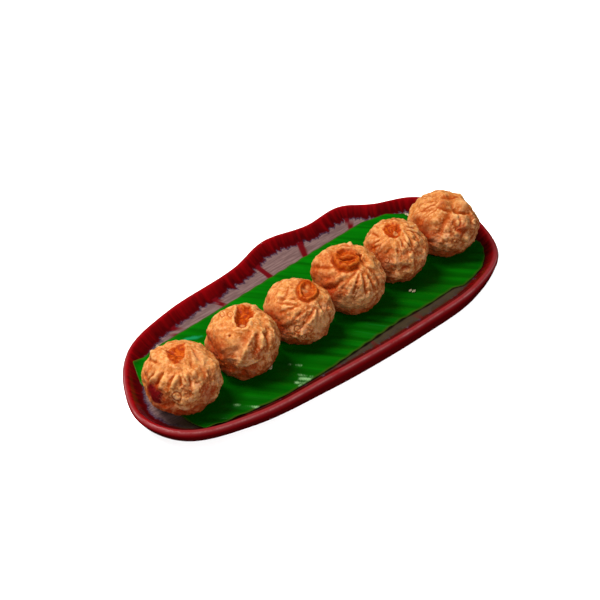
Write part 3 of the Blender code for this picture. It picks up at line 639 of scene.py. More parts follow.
# %% The six dumplings
MOMOS = [
    Momo(
        -121.4, -14.9, (23.8, 24.0, 21.0), 11, Pleats((-2.4, 13.6), 26, 12, 0.45, 74, -15, 62, 0.2),
        strokes=[
            ([(-7.6, 3.0), (-9.4, -1.0), (-12.3, -5.4)], 1.9, 1.4),
            ([(-0.9, 3.6), (-1.9, 0.5), (-3.3, -3.3)], 1.7, 1.6),
            ([(3.1, 2.8), (3.9, -1.0), (4.6, -4.8)], 2.2, 1.2),
            ([(-12.9, 3.4), (-15.0, 1.2), (-17.4, -0.8)], 1.7, 1.0),
            ([(7.8, 5.4), (9.8, 1.4)], 1.8, 1.0),
            ([(-15.0, 3.8), (-17.2, 1.6), (-19.4, -0.4)], 1.0, -1.3),
            ([(-3.5, 2.4), (-4.5, -0.6), (-5.8, -3.6)], 1.0, -1.5),
            ([(1.2, 1.8), (1.4, -0.4), (1.5, -2.8)], 0.9, -1.5),
            ([(-10.3, 3.6), (-12.6, -0.2), (-14.6, -3.6)], 1.0, -1.3),
            ([(6.2, 2.8), (7.0, -1.0), (7.4, -4.4)], 1.1, -1.0),
            ([(7.4, 18.6), (10.0, 15.0), (12.4, 11.2)], 1.0, -1.2),
            ([(5.4, 17.4), (7.0, 12.0), (7.2, 7.6)], 1.2, -0.8),
            ([(12.4, 8.0), (14.6, 3.0), (15.0, -2.4)], 1.3, -0.8),
            ([(-8.8, 17.8), (-5.6, 16.5), (-2.4, 15.2)], 0.9, -1.7),
            ([(-2.4, 15.2), (0.2, 14.8), (2.2, 13.8)], 0.8, -1.0),
            ([(-20.8, 12.0), (-16.4, 11.2), (-12.4, 9.6)], 1.0, -1.0)],
        lumps=[
            ((-16.0, 13.6), 3.0, 1.3), ((-11.0, 14.5), 3.5, 0.8), ((-3.4, 12.9), 1.6, 0.9),
            ((-14.6, 18.6), 2.6, 1.0), ((-0.2, 11.6), 1.4, 0.9), ((16, 4), 6, 0.6),
            ((-18.2, 16.2), 2.2, 1.5), ((-19.6, 7.0), 3.0, 0.8), ((12, -8), 3.5, 0.7),
            ((20.5, 8.0), 4.0, 1.0), ((18.0, 15.5), 4.0, -1.0)],
        stains={
            "seared_and_shaded": [
                ((-16.4, -8.5), 8.4, 1.0), ((-13.0, -13.6), 7.4, 1.0), ((-8.0, -17.6), 5.6, 0.95),
                ((-1.5, -20.6), 4.6, 0.75), ((-21.0, 1.0), 4.5, 0.5), ((17.5, -8.0), 6.0, 0.85),
                ((8.0, -18.0), 5.0, 0.55)],
            "golden": [((-18.6, 12.2), 1.8, 0.7)],
            "pale": [((12.0, 13.0), 6.0, 0.30)],
            "burnt_and_hollow_shade": [
                ((-16.6, -6.8), 4.8, 0.75), ((-13.8, -10.0), 4.4, 1.0),
                ((-12.0, -17.6), 1.5, 0.5)]},
        rings=[((-1.4, -9.9), 1.9, 0.65, 0.10, 0.0)],
        pockets=[
            ([(-9.0, 17.4), (-5.2, 19.2), (-1.6, 20.4), (2.0, 21.0), (2.9, 17.0), (2.6, 12.9),
              (0.8, 10.6), (-2.2, 9.8), (-4.6, 10.8), (-6.8, 13.6)], 1.2, 2.4, 0.0)]),
    Momo(
        -73.3, -15.1, (23.0, 23.6, 21.8), 22, Pleats((1.6, 14.0), 34, 11, 0.6, 80, 35, 60, 0.5),
        strokes=[
            ([(7.3, 5.8), (5.2, 0.6), (2.8, -4.2), (0.0, -9.4), (-2.6, -15.4)], 1.6, 1.8),
            ([(3.6, 4.0), (-0.6, -1.8), (-6.0, -7.4)], 2.4, -1.5),
            ([(10.0, 4.6), (9.4, -2.6), (6.8, -8.6)], 1.7, -1.4),
            ([(12.0, 8.0), (13.0, 1.0), (12.4, -5.0)], 1.5, 1.1),
            ([(15.2, 8.0), (16.2, 1.0), (15.6, -6.0)], 1.3, -1.0),
            ([(18.6, 7.0), (19.4, 1.0), (18.2, -5.0)], 1.2, 0.8),
            ([(9.4, -11.8), (6.4, -13.2), (3.0, -14.2)], 1.0, 1.0),
            ([(10.0, -14.2), (6.4, -15.8), (2.0, -16.4)], 1.1, -0.9),
            ([(-4.8, 20.0), (-5.2, 15.4), (-4.6, 11.4)], 1.0, 0.7)],
        lumps=[
            ((-0.8, 22.6), 2.2, 1.3), ((4.6, 21.6), 2.2, 1.0), ((12.0, 20.5), 4.0, -1.4),
            ((-11, 6), 8, 1.0), ((4.6, 11.8), 1.7, 1.5), ((-7.1, 4.0), 0.9, -0.6),
            ((17.5, 10.0), 3.6, 0.9), ((-21.0, 6.5), 3.4, 1.3), ((-20.0, -1.6), 2.6, -1.0),
            ((16.5, -12.0), 4.0, 1.4), ((20.5, -3.0), 3.0, -0.9), ((-15.5, -15.0), 3.0, -1.0),
            ((-12.0, -10.0), 4.0, 0.6), ((-15.0, 11.0), 3.0, 0.9), ((-10.6, -4.0), 2.2, 0.8),
            ((11.0, -17.0), 3.0, 0.9)],
        stains={
            "burnt_and_hollow_shade": [((-2.0, 13.6), 2.2, 0.35), ((-7.1, 4.0), 0.8, 0.5)],
            "pale": [((0.4, 12.0), 1.7, 0.5), ((5.2, 11.8), 1.7, 0.55), ((-2.0, -3.0), 5.0, 0.30)],
            "seared_and_shaded": [
                ((-21.0, 2.0), 5.0, 0.75), ((-17.0, -7.0), 6.0, 0.6), ((-10.0, -16.0), 5.4, 0.6),
                ((10.8, -6.8), 3.0, 0.65), ((4.0, -19.0), 6.0, 0.7)],
            "golden": [((-14.0, -1.0), 4.4, 0.4), ((-12.0, -12.5), 4.6, 0.5)]},
        rings=[((-7.2, 17.3), 1.2, 0.4, 0.12, 0.0), ((-12.4, 17.0), 0.8, 0.35, 0.10, 0.0)],
        pockets=[
            ([(-3.7, 22.8), (-4.0, 17.4), (-4.0, 13.0), (-3.0, 10.2), (-0.2, 8.8), (2.8, 9.6),
              (4.4, 12.2), (4.8, 15.0), (6.6, 16.4), (7.8, 18.2), (6.2, 20.6),
              (4.6, 22.8)], 3.2, 2.4, 0.1)]),
    Momo(
        -27.3, -16.1, (22.4, 23.4, 20.1), 33, Pleats((7.4, 9.0), 20, 11, 0.45, 90, -25, 75, 0.0),
        strokes=[
            ([(-13.4, 5.8), (-7.0, 5.2), (-1.2, 4.8)], 1.0, -1.3),
            ([(6.2, 2.6), (2.0, -0.8), (-3.0, -4.8)], 1.3, -1.8),
            ([(8.2, 4.8), (2.0, -1.6), (-7.6, -7.4)], 2.2, 1.4),
            ([(10.9, 2.8), (8.0, -2.0), (4.6, -7.0)], 1.2, -1.7),
            ([(11.8, 2.2), (8.8, -4.0), (4.4, -9.6)], 1.8, 1.2),
            ([(12.6, 2.4), (12.9, -2.6), (12.6, -7.8)], 1.1, -1.3),
            ([(14.6, 4.6), (16.8, 0.4), (18.0, -4.6)], 1.2, -1.0),
            ([(-6.2, 16.6), (-7.6, 11.0), (-10.4, 7.6)], 1.1, -0.8),
            ([(-1.0, 9.4), (-5.4, 8.2), (-10.0, 8.8)], 1.0, -0.7),
            ([(0.0, 5.6), (-6.0, 0.6), (-12.0, -1.4)], 1.3, -0.8)],
        lumps=[
            ((-15.4, 14.6), 3.4, 1.4), ((-8.8, 18.8), 3.0, 1.3), ((-4.6, 20.6), 1.2, -0.9),
            ((-8.0, 2.4), 2.6, 0.9), ((-14.5, 6.0), 3.2, 0.8), ((-12.4, 10.6), 2.2, 0.9),
            ((-18.4, 11.4), 2.4, 0.9), ((-6.6, 8.0), 1.8, 0.6), ((4.0, 13.8), 2.0, 0.9),
            ((-3.4, 12.4), 3.4, 0.6), ((-19.5, 1.0), 3.2, 0.7), ((18.0, 8.5), 4.0, 1.2),
            ((14.0, 18.5), 3.4, -1.0), ((-20.0, 9.0), 4.0, 1.0)],
        stains={
            "golden": [
                ((6.1, 12.0), 6.0, 0.75), ((2.0, -6.0), 6.0, 0.22), ((-19.0, 8.0), 3.4, 0.45)],
            "pale": [((15.0, -6.0), 7.0, 0.40), ((4.6, 14.6), 2.4, 0.35)],
            "seared_and_shaded": [((-12.5, -10.0), 5.4, 0.85), ((-17.6, -4.0), 4.4, 0.8)]},
        rings=[
            ((6.1, 14.0), 5.2, 1.2, 1.4, 1.4), ((-0.6, -11.2), 1.2, 0.5, 0.10, 0.0),
            ((3.7, -15.6), 0.9, 0.4, 0.10, 0.0)]),
    Momo(
        18.2, -15.5, (23.4, 25.2, 22.0), 44, Pleats((7.8, 8.0), 24, 10, 0.45, 92, -5, 55, 0.4),
        strokes=[
            ([(-25.0, 7.2), (-18.6, 7.6), (-10.4, 8.0)], 1.5, -1.9),
            ([(-24.0, 3.4), (-15.0, 3.0), (-5.6, 4.4)], 2.8, 1.4),
            ([(-4.6, 1.6), (-10.4, -1.6), (-16.4, -3.6)], 2.0, 1.5),
            ([(-5.0, -1.4), (-9.8, -5.8), (-13.4, -7.2), (-18.0, -5.4)], 1.5, -1.8),
            ([(5.6, 6.4), (0.4, 0.0), (-5.4, -7.6)], 1.2, -1.3),
            ([(7.0, 5.4), (4.6, -2.4), (2.6, -9.6)], 1.1, -1.3),
            ([(8.2, 5.0), (9.6, -2.0), (11.2, -9.4)], 1.3, -1.5),
            ([(9.8, 6.4), (14.0, 0.0), (16.6, -8.0)], 1.3, -1.2),
            ([(10.6, 8.8), (16.6, 4.4), (20.6, -3.0)], 1.3, -1.1),
            ([(6.4, 4.4), (2.4, -4.4), (-1.0, -11.0)], 1.8, 1.0),
            ([(7.8, 4.0), (7.2, -4.0), (7.0, -11.0)], 1.8, 1.0),
            ([(-5.4, 12.8), (-1.6, 13.4), (3.4, 13.8)], 0.9, -3.2),
            ([(-8.4, 13.2), (-6.0, 9.6), (-0.8, 8.0), (4.0, 9.8), (6.2, 13.6)], 2.1, 2.8),
            ([(-8.8, 13.6), (-8.0, 17.8), (-3.6, 20.4), (2.4, 19.8), (6.0, 17.0)], 1.2, 2.0),
            ([(-4.4, 17.2), (-0.8, 17.8), (2.6, 17.0)], 2.6, -1.8),
            ([(-4.6, 14.7), (-1.0, 15.2), (2.8, 15.0)], 0.9, 1.3),
            ([(-11.4, 18.0), (-11.2, 12.0), (-8.4, 6.6), (-1.6, 4.6), (5.0, 7.4)], 1.4, -1.8),
            ([(-9.0, 21.4), (-2.0, 22.8), (5.0, 20.6)], 1.2, -1.0)],
        lumps=[
            ((-18.6, 13.6), 6.5, 1.7), ((22.4, -7.8), 3.2, 1.8), ((20.0, 10.0), 6.0, -1.3),
            ((-23.0, 7.0), 6.0, 1.5), ((1.4, 23.2), 1.8, 1.6), ((11.8, -12.0), 2.4, 1.0),
            ((4.7, -2.6), 0.8, -0.9), ((-14.4, 18.0), 3.0, 0.6)],
        stains={
            "golden": [
                ((-1.6, 12.8), 11.0, 1.0), ((-15.0, 12.0), 8.0, 0.35), ((-21.0, 7.0), 4.6, 0.50),
                ((-12.0, -3.0), 5.0, 0.45), ((-11.0, 3.4), 8.0, 0.30), ((6.0, 10.6), 2.6, 0.7)],
            "burnt_and_hollow_shade": [((-2.0, 13.2), 1.0, 0.35), ((7.1, 15.4), 1.2, 0.7)],
            "seared_and_shaded": [((-13.0, -7.6), 3.6, 0.9)],
            "pale": [
                ((11.8, -12.0), 2.6, 0.7), ((8.0, -17.0), 6.0, 0.35), ((-2.0, -17.0), 6.0, 0.35)]},
        pockets=[([(5.2, 16.8), (9.0, 17.2), (7.4, 13.0)], 2.6, 1.2, 0.0)]),
    Momo(
        63.9, -15.0, (21.9, 22.4, 21.4), 55, Pleats((-3.2, 13.6), 28, 15, 0.55, 84, 0, 140, 0.3),
        strokes=[
            ([(-16.4, 12.4), (-12.4, 9.4)], 1.1, -1.3),
            ([(-18.4, 0.4), (-15.4, 2.2), (-12.0, 3.4)], 1.2, -1.4),
            ([(-5.4, 0.4), (-8.4, -3.4)], 1.0, -1.2), ([(0.2, 0.4), (0.3, -2.4)], 1.0, -1.4),
            ([(3.2, 5.6), (3.4, 1.4)], 1.0, -1.3), ([(7.8, 8.4), (10.4, 3.4)], 1.0, -1.4),
            ([(11.6, 12.6), (15.0, 7.8)], 1.0, -1.3), ([(-12.6, 7.0), (-16.0, 5.2)], 1.1, -1.1),
            ([(-10.6, -0.6), (-14.0, -3.6)], 1.1, -1.1), ([(7.4, 16.0), (12.4, 15.2)], 1.0, -0.9),
            ([(-6.6, 16.2), (-4.6, 12.4)], 0.7, -0.8), ([(-3.2, 17.2), (-3.0, 12.6)], 0.7, -0.8),
            ([(0.6, 16.6), (-1.0, 12.6)], 0.7, -0.8),
            ([(4.6, 13.0), (6.6, 6.0), (6.4, -1.0)], 1.5, 0.8)],
        lumps=[
            ((-1.8, 20.8), 3.6, 1.5), ((5.6, -11.7), 2.4, -1.1), ((-1.6, 12.4), 1.3, 1.1),
            ((-18.0, 6.4), 2.6, 0.8), ((19.0, -3.0), 4.5, 1.3), ((15.0, -15.0), 4.0, -1.2),
            ((-19.0, -4.0), 4.0, 1.0), ((-8.0, -12.0), 3.0, 0.9), ((-2.0, -8.0), 2.4, 0.8),
            ((9.0, -4.0), 2.6, 0.8), ((1.0, -16.0), 3.0, 0.8), ((12.0, 4.0), 2.6, 0.7),
            ((14.0, 16.0), 3.0, 0.8)],
        stains={
            "seared_and_shaded": [((5.6, -11.7), 2.8, 0.7), ((-14.0, -12.0), 5.0, 0.7)],
            "golden": [((-16, 1.8), 2.4, 0.8), ((-1.7, 20.4), 3.0, 0.5)],
            "burnt_and_hollow_shade": [((-5.0, 10.4), 3.0, 0.22)],
            "pale": [((-1.2, 11.6), 1.6, 0.5)]},
        rings=[((-7.0, -7.0), 1.0, 0.4, 0.3, 0.2)],
        pockets=[
            ([(-9.6, 14.6), (-7.0, 17.8), (-2.8, 18.6), (1.4, 17.2), (2.8, 13.6), (1.8, 9.6),
              (-1.8, 8.0), (-5.6, 8.6), (-8.6, 11.4)], 1.2, 2.4, 0.1)]),
    Momo(
        110.6, -16.3, (24.4, 25.2, 22.0), 66, Pleats((5.0, 15.0), 24, 13, 0.5, 84, -10, 100, 0.7),
        strokes=[
            ([(8.4, 13.4), (12.4, 13.4), (16.0, 12.0)], 3.6, 3.4),
            ([(7.4, 8.2), (12.0, 6.8), (17.0, 7.0)], 1.8, -3.2),
            ([(-0.8, 18.2), (4.4, 18.6), (9.6, 19.6)], 1.9, -1.7),
            ([(-5.6, 10.6), (-1.6, 8.6), (3.6, 8.2)], 1.3, -1.9),
            ([(3.2, 6.2), (-1.9, -0.9), (-5.8, -9.0)], 2.4, -1.4),
            ([(5.2, -0.4), (7.4, -5.4), (11.6, -7.0), (15.8, -5.2)], 1.5, -2.6),
            ([(4.2, 14.8), (4.8, 10.8), (7.2, 7.2)], 1.6, -1.0),
            ([(17.2, 8.0), (18.2, 2.4), (17.2, -4.6)], 1.4, -1.0),
            ([(-18.0, 9.0), (-13.0, 7.8), (-8.0, 9.0)], 1.4, -0.8)],
        lumps=[
            ((-1.9, 22.6), 2.4, 0.9), ((-1.5, 13.0), 3.4, 2.2), ((10.6, -0.6), 4.6, 2.2),
            ((-14, 14), 4.6, 1.0), ((-9.6, 3.6), 5.0, 1.1), ((7.0, 4.2), 1.8, 1.2),
            ((14.2, -10.6), 3.6, 1.0), ((-2.8, -11.6), 3.8, 1.0), ((-19.0, 4.0), 3.4, 0.9),
            ((2.8, -17.0), 3.6, 1.0), ((6.4, -11.6), 3.0, 0.8), ((-8.0, -16.0), 3.4, 0.9),
            ((21.5, 15.5), 6.5, -2.6), ((24.5, 2.0), 5.0, 1.4), ((13.5, 21.0), 3.0, 1.2),
            ((-21.5, 11.0), 5.0, -1.2), ((-17.0, -6.0), 3.0, 0.7)],
        stains={
            "golden": [
                ((2.6, 18.4), 4.0, 0.40), ((7.6, 19.2), 3.4, 0.4), ((-1.8, 11.8), 4.0, 0.6),
                ((-17.0, 0.0), 4.4, 0.50), ((15.0, 10.4), 3.0, 0.35)],
            "seared_and_shaded": [((10.4, -6.0), 4.4, 0.8), ((-15.0, -10.0), 5.0, 0.7)],
            "pale": [((7.0, 4.2), 2.2, 0.6), ((12.4, 14.0), 4.0, 0.3)]},
        rings=[((20.4, 0.8), 1.6, 0.5, 0.45, 0.3)]),
]
MIDDLE_Z = LEAF_BED + LEAF_THICKNESS + 0.3
BOTTOM_Z = LEAF_BED + LEAF_THICKNESS + 0.05
print(len(MOMOS), "dumplings")

# %% The plain body
# An ellipsoid has the power 2. Above it, the shoulders and the belly are fuller.
SHOULDER_POWER, BELLY_POWER = 2.3, 2.15
GUESSES, GUESS_SHARE, OUTLINE_SHARE = 6, 0.8, 0.985


def body_skin(momo, directions):
    """A ball with fuller shoulders than an ellipsoid."""
    level = np.hypot(directions[:, 0], directions[:, 1])
    power = np.where(directions[:, 2] > 0, SHOULDER_POWER, BELLY_POWER)
    full = (level ** power + np.abs(directions[:, 2]) ** power) ** (-1 / power)
    return directions * full[:, None] * np.array(momo.size)


def seen_direction(momo, place):
    """Direction, from a dumpling's middle, of the skin that is seen at (right, up) in mm.

    A guess on a plain ball is moved a few times by most of what it is off by, and kept just
    inside the ball's outline.
    """
    radius = sum(momo.size) / 3
    right, up = place
    for _ in range(GUESSES):
        reach = math.hypot(right, up) / (OUTLINE_SHARE * radius)
        right, up = right / max(1.0, reach), up / max(1.0, reach)
        towards = math.sqrt(radius * radius - right * right - up * up)
        direction = unit(SEEN_RIGHT * right + SEEN_UP * up + TOWARDS * towards)
        skin = body_skin(momo, direction[None, :])[0]
        right += GUESS_SHARE * (place[0] - skin @ SEEN_RIGHT)
        up += GUESS_SHARE * (place[1] - skin @ SEEN_UP)
    return direction


def on_skin(momo, place):
    """The point of the skin that is seen at a place."""
    return body_skin(momo, seen_direction(momo, place)[None, :])[0]


# %% Pleats round the mouth
GROOVE_WIDTH = 1.0


def pleat_relief(momo, directions, waver):
    """Folds that fan out from the mouth: round backs with a narrow groove between them."""
    pleats = momo.pleats
    # Where each point lies round the mouth: how far down, and how far turned, in radians.
    axis = seen_direction(momo, pleats.place)
    down = unit(axis * np.dot(SEEN_UP, axis) - SEEN_UP)
    right = np.cross(axis, down)
    angle = np.degrees(np.arccos(np.clip(directions @ axis, -1, 1)))
    turn = np.arctan2(directions @ right, directions @ down)
    # The folds are unevenly spaced, and twist a little on their way down.
    jitter = 0.16 * np.sin(2 * turn + momo.seed) + 0.09 * np.sin(5 * turn + 2.0 * momo.seed)
    twist = math.radians(0.16) * angle + 0.16 * waver
    fold = pleats.count * (turn + jitter + twist) / (2 * math.pi) + pleats.phase
    number = np.round(fold).astype(int) % pleats.count
    off = np.abs(fold - np.round(fold))
    spacing = sum(momo.size) / 3 * np.sin(np.radians(angle)) * 2 * math.pi / pleats.count
    # Each groove has its own depth and length.
    draw = np.random.default_rng(momo.seed + 500)
    depths = draw.uniform(0.45, 1.15, pleats.count)[number]
    reaches = pleats.reach * draw.uniform(0.75, 1.1, pleats.count)[number]
    groove = np.exp(-(off * spacing / (GROOVE_WIDTH * (1.0 + 0.4 * waver))) ** 2) * depths
    back = np.sin(math.pi * off) * np.clip(spacing / 4.0, 0.0, 1.0)
    # They start past the mouth, the backs end sooner, and one side is pleated most.
    start = smooth_step(pleats.start - 8, pleats.start + 8, angle)
    end = 1.0 - smooth_step(0.55 * reaches, reaches, angle)
    back_end = 1.0 - smooth_step(0.5 * pleats.reach, pleats.reach, angle)
    off_side = np.abs((np.degrees(turn) - pleats.side + 180.0) % 360.0 - 180.0)
    strength = 0.2 + 0.8 * (1.0 - smooth_step(0.6 * pleats.spread, 1.3 * pleats.spread, off_side))
    relief = pleats.depth * strength * start * (0.7 * back * back_end - 0.8 * groove * end)
    return relief, groove * end * start * strength


# %% Single folds, lumps and rings
# What is left of each height once the skin has swollen, and the least radius of a browned ring.
PRESSED_SHARE, RAISED_SHARE, LUMP_SHARE = 0.75, 0.95, 1.35
BROWNED_RADIUS = 3.0
# Points between two places of a stroke's path, and how many widths away it still counts.
PATH_STOPS, STROKE_REACH = 8, 3.2


def near_line(momo, path, skin, reach):
    """Points near a line of places, how far off they are, and their share of the way along."""
    stops = np.linspace(0.0, len(path) - 1.0, PATH_STOPS * len(path))
    lanes = [np.interp(stops, range(len(path)), lane) for lane in zip(*path)]
    line = np.array([on_skin(momo, place) for place in zip(*lanes)])
    close = (skin > line.min(axis=0) - reach) & (skin < line.max(axis=0) + reach)
    near = np.flatnonzero(close.all(axis=1))
    away = np.sqrt(((skin[near, None, :] - line[None, :, :]) ** 2).sum(axis=2))
    return near, away.min(axis=1), away.argmin(axis=1) / (len(line) - 1)


def stroke_relief(momo, stroke, skin, relief, fold):
    """A raised or pressed line through its places, tapering at its ends."""
    near, away, share = near_line(momo, stroke.path, skin, STROKE_REACH * stroke.width)
    taper = np.sin(math.pi * (0.14 + 0.72 * share)) ** 0.7
    height = stroke.height * (PRESSED_SHARE if stroke.height < 0 else RAISED_SHARE)
    relief[near] += height * taper * np.exp(-(away / stroke.width) ** 2)
    if stroke.height < 0:
        halo = np.exp(-(away / (1.15 * stroke.width)) ** 2) * taper * min(1.0, -stroke.height / 1.3)
        fold[near] = np.maximum(fold[near], halo)


def lump_relief(momo, lump, skin):
    """A round swelling, or a dent where its height is negative."""
    away = np.linalg.norm(skin - on_skin(momo, lump.place), axis=1)
    return LUMP_SHARE * lump.height * np.exp(-(away / lump.radius) ** 2)


def ring_relief(ring, right, up, facing, fold, golden):
    """A raised circle as it is seen, with a thin dark seam round it and a hollow inside."""
    away = np.hypot(right - ring.place[0], up - ring.place[1]) + 99.0 * (facing < 0)
    raised = ring.height * np.exp(-((away - ring.radius) / ring.tube) ** 2)
    seam = np.exp(-((away - ring.radius - 1.5 * ring.tube) / (0.75 * ring.tube)) ** 2)
    hollow = -ring.hollow * np.exp(-(away / (0.8 * ring.radius)) ** 4)
    np.maximum(fold, 1.2 * seam, out=fold)
    if ring.radius > BROWNED_RADIUS:
        np.maximum(golden, np.exp(-((away - ring.radius) / (1.5 * ring.tube)) ** 4), out=golden)
    return raised - max(0.30, min(0.45, 0.7 * ring.height)) * seam + hollow


# %% Open pockets
def inside_outline(outline, right, up):
    """Distance in mm inside a closed outline, negative outside it."""
    outline = np.asarray(outline, float)
    places = np.column_stack([right, up])
    away = np.full(len(places), 1e9)
    within = np.zeros(len(places), bool)
    for start, end in zip(outline, np.roll(outline, -1, axis=0)):
        run = end - start
        share = np.clip((places - start) @ run / (run @ run), 0.0, 1.0)
        away = np.minimum(away, np.sqrt(((places - start - share[:, None] * run) ** 2).sum(axis=1)))
        crosses = (start[1] > up) != (end[1] > up)
        safe = run[1] if run[1] else 1e-9
        within ^= crosses & (right < run[0] * (up - start[1]) / safe + start[0])
    return np.where(within, away, -away)


def pocket_relief(pocket, right, up, facing, golden, waver):
    """An open fold: sunk and golden inside its outline, with a lip round it."""
    depth = inside_outline(pocket.outline, right, up) + 0.7 * waver
    front = facing > 0
    np.maximum(golden, smooth_step(-1.1, 0.7, depth) * front, out=golden)
    sunk = -pocket.depth * smooth_step(-1.0, pocket.softness, depth)
    lip = pocket.lip * np.exp(-((depth + 1.0) / 1.1) ** 2)
    return (sunk + lip) * front


# %% Blisters of the frying
# Each sort is how many, from and to which radius, and from and to which height, in mm.
BLISTER_SORTS = [(80, (1.8, 3.4), (-0.5, 0.8)), (380, (0.9, 1.8), (-0.28, 0.46)),
                 (900, (0.5, 0.9), (-0.10, 0.20))]
BLISTER_REACH = 1.6


def blister_relief(momo, skin, rough):
    """Domes and pits of three sizes, spread by a seeded draw, and how brown each dome is."""
    draw = np.random.default_rng(momo.seed)
    tree = KDTree(len(skin))
    for number, point in enumerate(skin):
        tree.insert(point, number)
    tree.balance()
    total = np.zeros(len(skin))
    brown = np.zeros(len(skin))
    for count, radii, heights in BLISTER_SORTS:
        centres = body_skin(momo, unit(draw.normal(size=(count, 3))))
        sizes, tops = draw.uniform(*radii, count), draw.uniform(*heights, count)
        shades = draw.uniform(-1, 1, count)
        for centre, radius, height, shade in zip(centres, sizes, tops, shades):
            found = tree.find_range(centre, BLISTER_REACH * radius)
            near = [number for _, number, _ in found]
            dome = np.exp(-(np.array([away for _, _, away in found]) / radius) ** 3)
            total[near] += height * dome
            brown[near] += shade * dome * 0.5
    return total * (0.5 + 0.7 * rough), brown


# %% [markdown]
# ## Marks for the dough's colour
# Fried dough is orange in its folds and deep gold at the pinched mouth. Its folds and hollows
# are also darkened as painted shade, and its crests are paler, partly as painted highlight. How
# hollow a place is can be measured: smooth the mesh, and see how far each point moves outwards.
# That measure is kept on the points, so the colour follows every fold.

# %% How hollow a place is
# In each round of smoothing a point moves most of the way to the middle of its neighbours.
KEPT_SHARE = 0.4


def neighbours(faces):
    """Pairs of points that share an edge, each pair both ways round."""
    edges = {tuple(sorted(pair)) for face in faces for pair in zip(face, (*face[1:], face[0]))}
    edges = np.array(sorted(edges))
    return np.vstack([edges, edges[:, ::-1]])


def hollowness(points, outwards, pairs, rounds):
    """How far in mm a point lies below its smoothed surroundings."""
    count = np.bincount(pairs[:, 0], minlength=len(points)).astype(float)
    smooth = points.copy()
    for _ in range(rounds):
        total = np.column_stack([np.bincount(pairs[:, 0], weights=smooth[pairs[:, 1], axis],
                                             minlength=len(points)) for axis in range(3)])
        smooth = KEPT_SHARE * smooth + (1.0 - KEPT_SHARE) * total / count[:, None]
    return ((smooth - points) * outwards).sum(axis=1)


# %% One ball to start from
BALL_LEVELS, CRUMB_LEVELS = 7, 4


def round_ball(levels):
    """Directions and faces of a ball of even triangles."""
    ball = bmesh.new()
    bmesh.ops.create_icosphere(ball, subdivisions=levels, radius=1.0)
    directions = unit(np.array([vertex.co[:] for vertex in ball.verts]))
    faces = [tuple(vertex.index for vertex in face.verts) for face in ball.faces]
    ball.free()
    return directions, faces


ball_directions, ball_faces = round_ball(BALL_LEVELS)
ball_pairs = neighbours(ball_faces)
print("ball:", len(ball_directions), "points,", len(ball_faces), "faces")

# %% Where a dumpling touches, and its stains
TOUCH_GAP, TOUCH_REACH = 0.2, 7.5


def touching_planes(number):
    """The planes across X that a dumpling presses against, or None at the ends of the row."""
    def between(left, right):
        return (left.x + left.size[0] + right.x - right.size[0]) / 2
    low = high = None
    if number > 0:
        low = between(MOMOS[number - 1], MOMOS[number]) + TOUCH_GAP
    if number < len(MOMOS) - 1:
        high = between(MOMOS[number], MOMOS[number + 1]) - TOUCH_GAP
    return low, high


def stain_mark(momo, kind, skin, waver):
    """How strongly the patches of this colour show, from 0 to 1."""
    total = np.zeros(len(skin))
    for place, radius, strength in momo.stains.get(kind, []):
        away = np.linalg.norm(skin - on_skin(momo, place), axis=1) / radius
        share = 1.0 - smooth_step(0.6, 1.35, away + 0.3 * waver)
        total = np.maximum(total, strength * share)
    return total


# %% Push the ball into shape
# Unevenness of the skin, as its size in mm and how much it adds: slow, quick, and the finest,
# which adds more where the skin is rough. Then the heights, in mm over the middle, between
# which the skin turns rough and its lower side darker, partly fried brown and partly painted shade.
SLOW_SIZE, SLOW_SHARE = 9.0, 1.4
QUICK_SIZE, QUICK_SHARE = 3.4, 0.46
FINEST_SIZE, FINEST_SHARE, FINEST_ROUGH_SHARE = 1.6, 0.10, 0.16
ROUGH_FROM, ROUGH_TO, ROUGH_LEAN = 8.0, -12.0, 0.45
LOW_FROM, LOW_TO = 1.0, -12.0
# How far all the reliefs together swell the body, and how far it sinks on to the leaf.
SWELL, SINK = 0.9, 0.84
BASE_SOFTNESS, TOUCH_SOFTNESS = 0.5, 0.7
FINE_ROUNDS, WIDE_ROUNDS = 3, 28


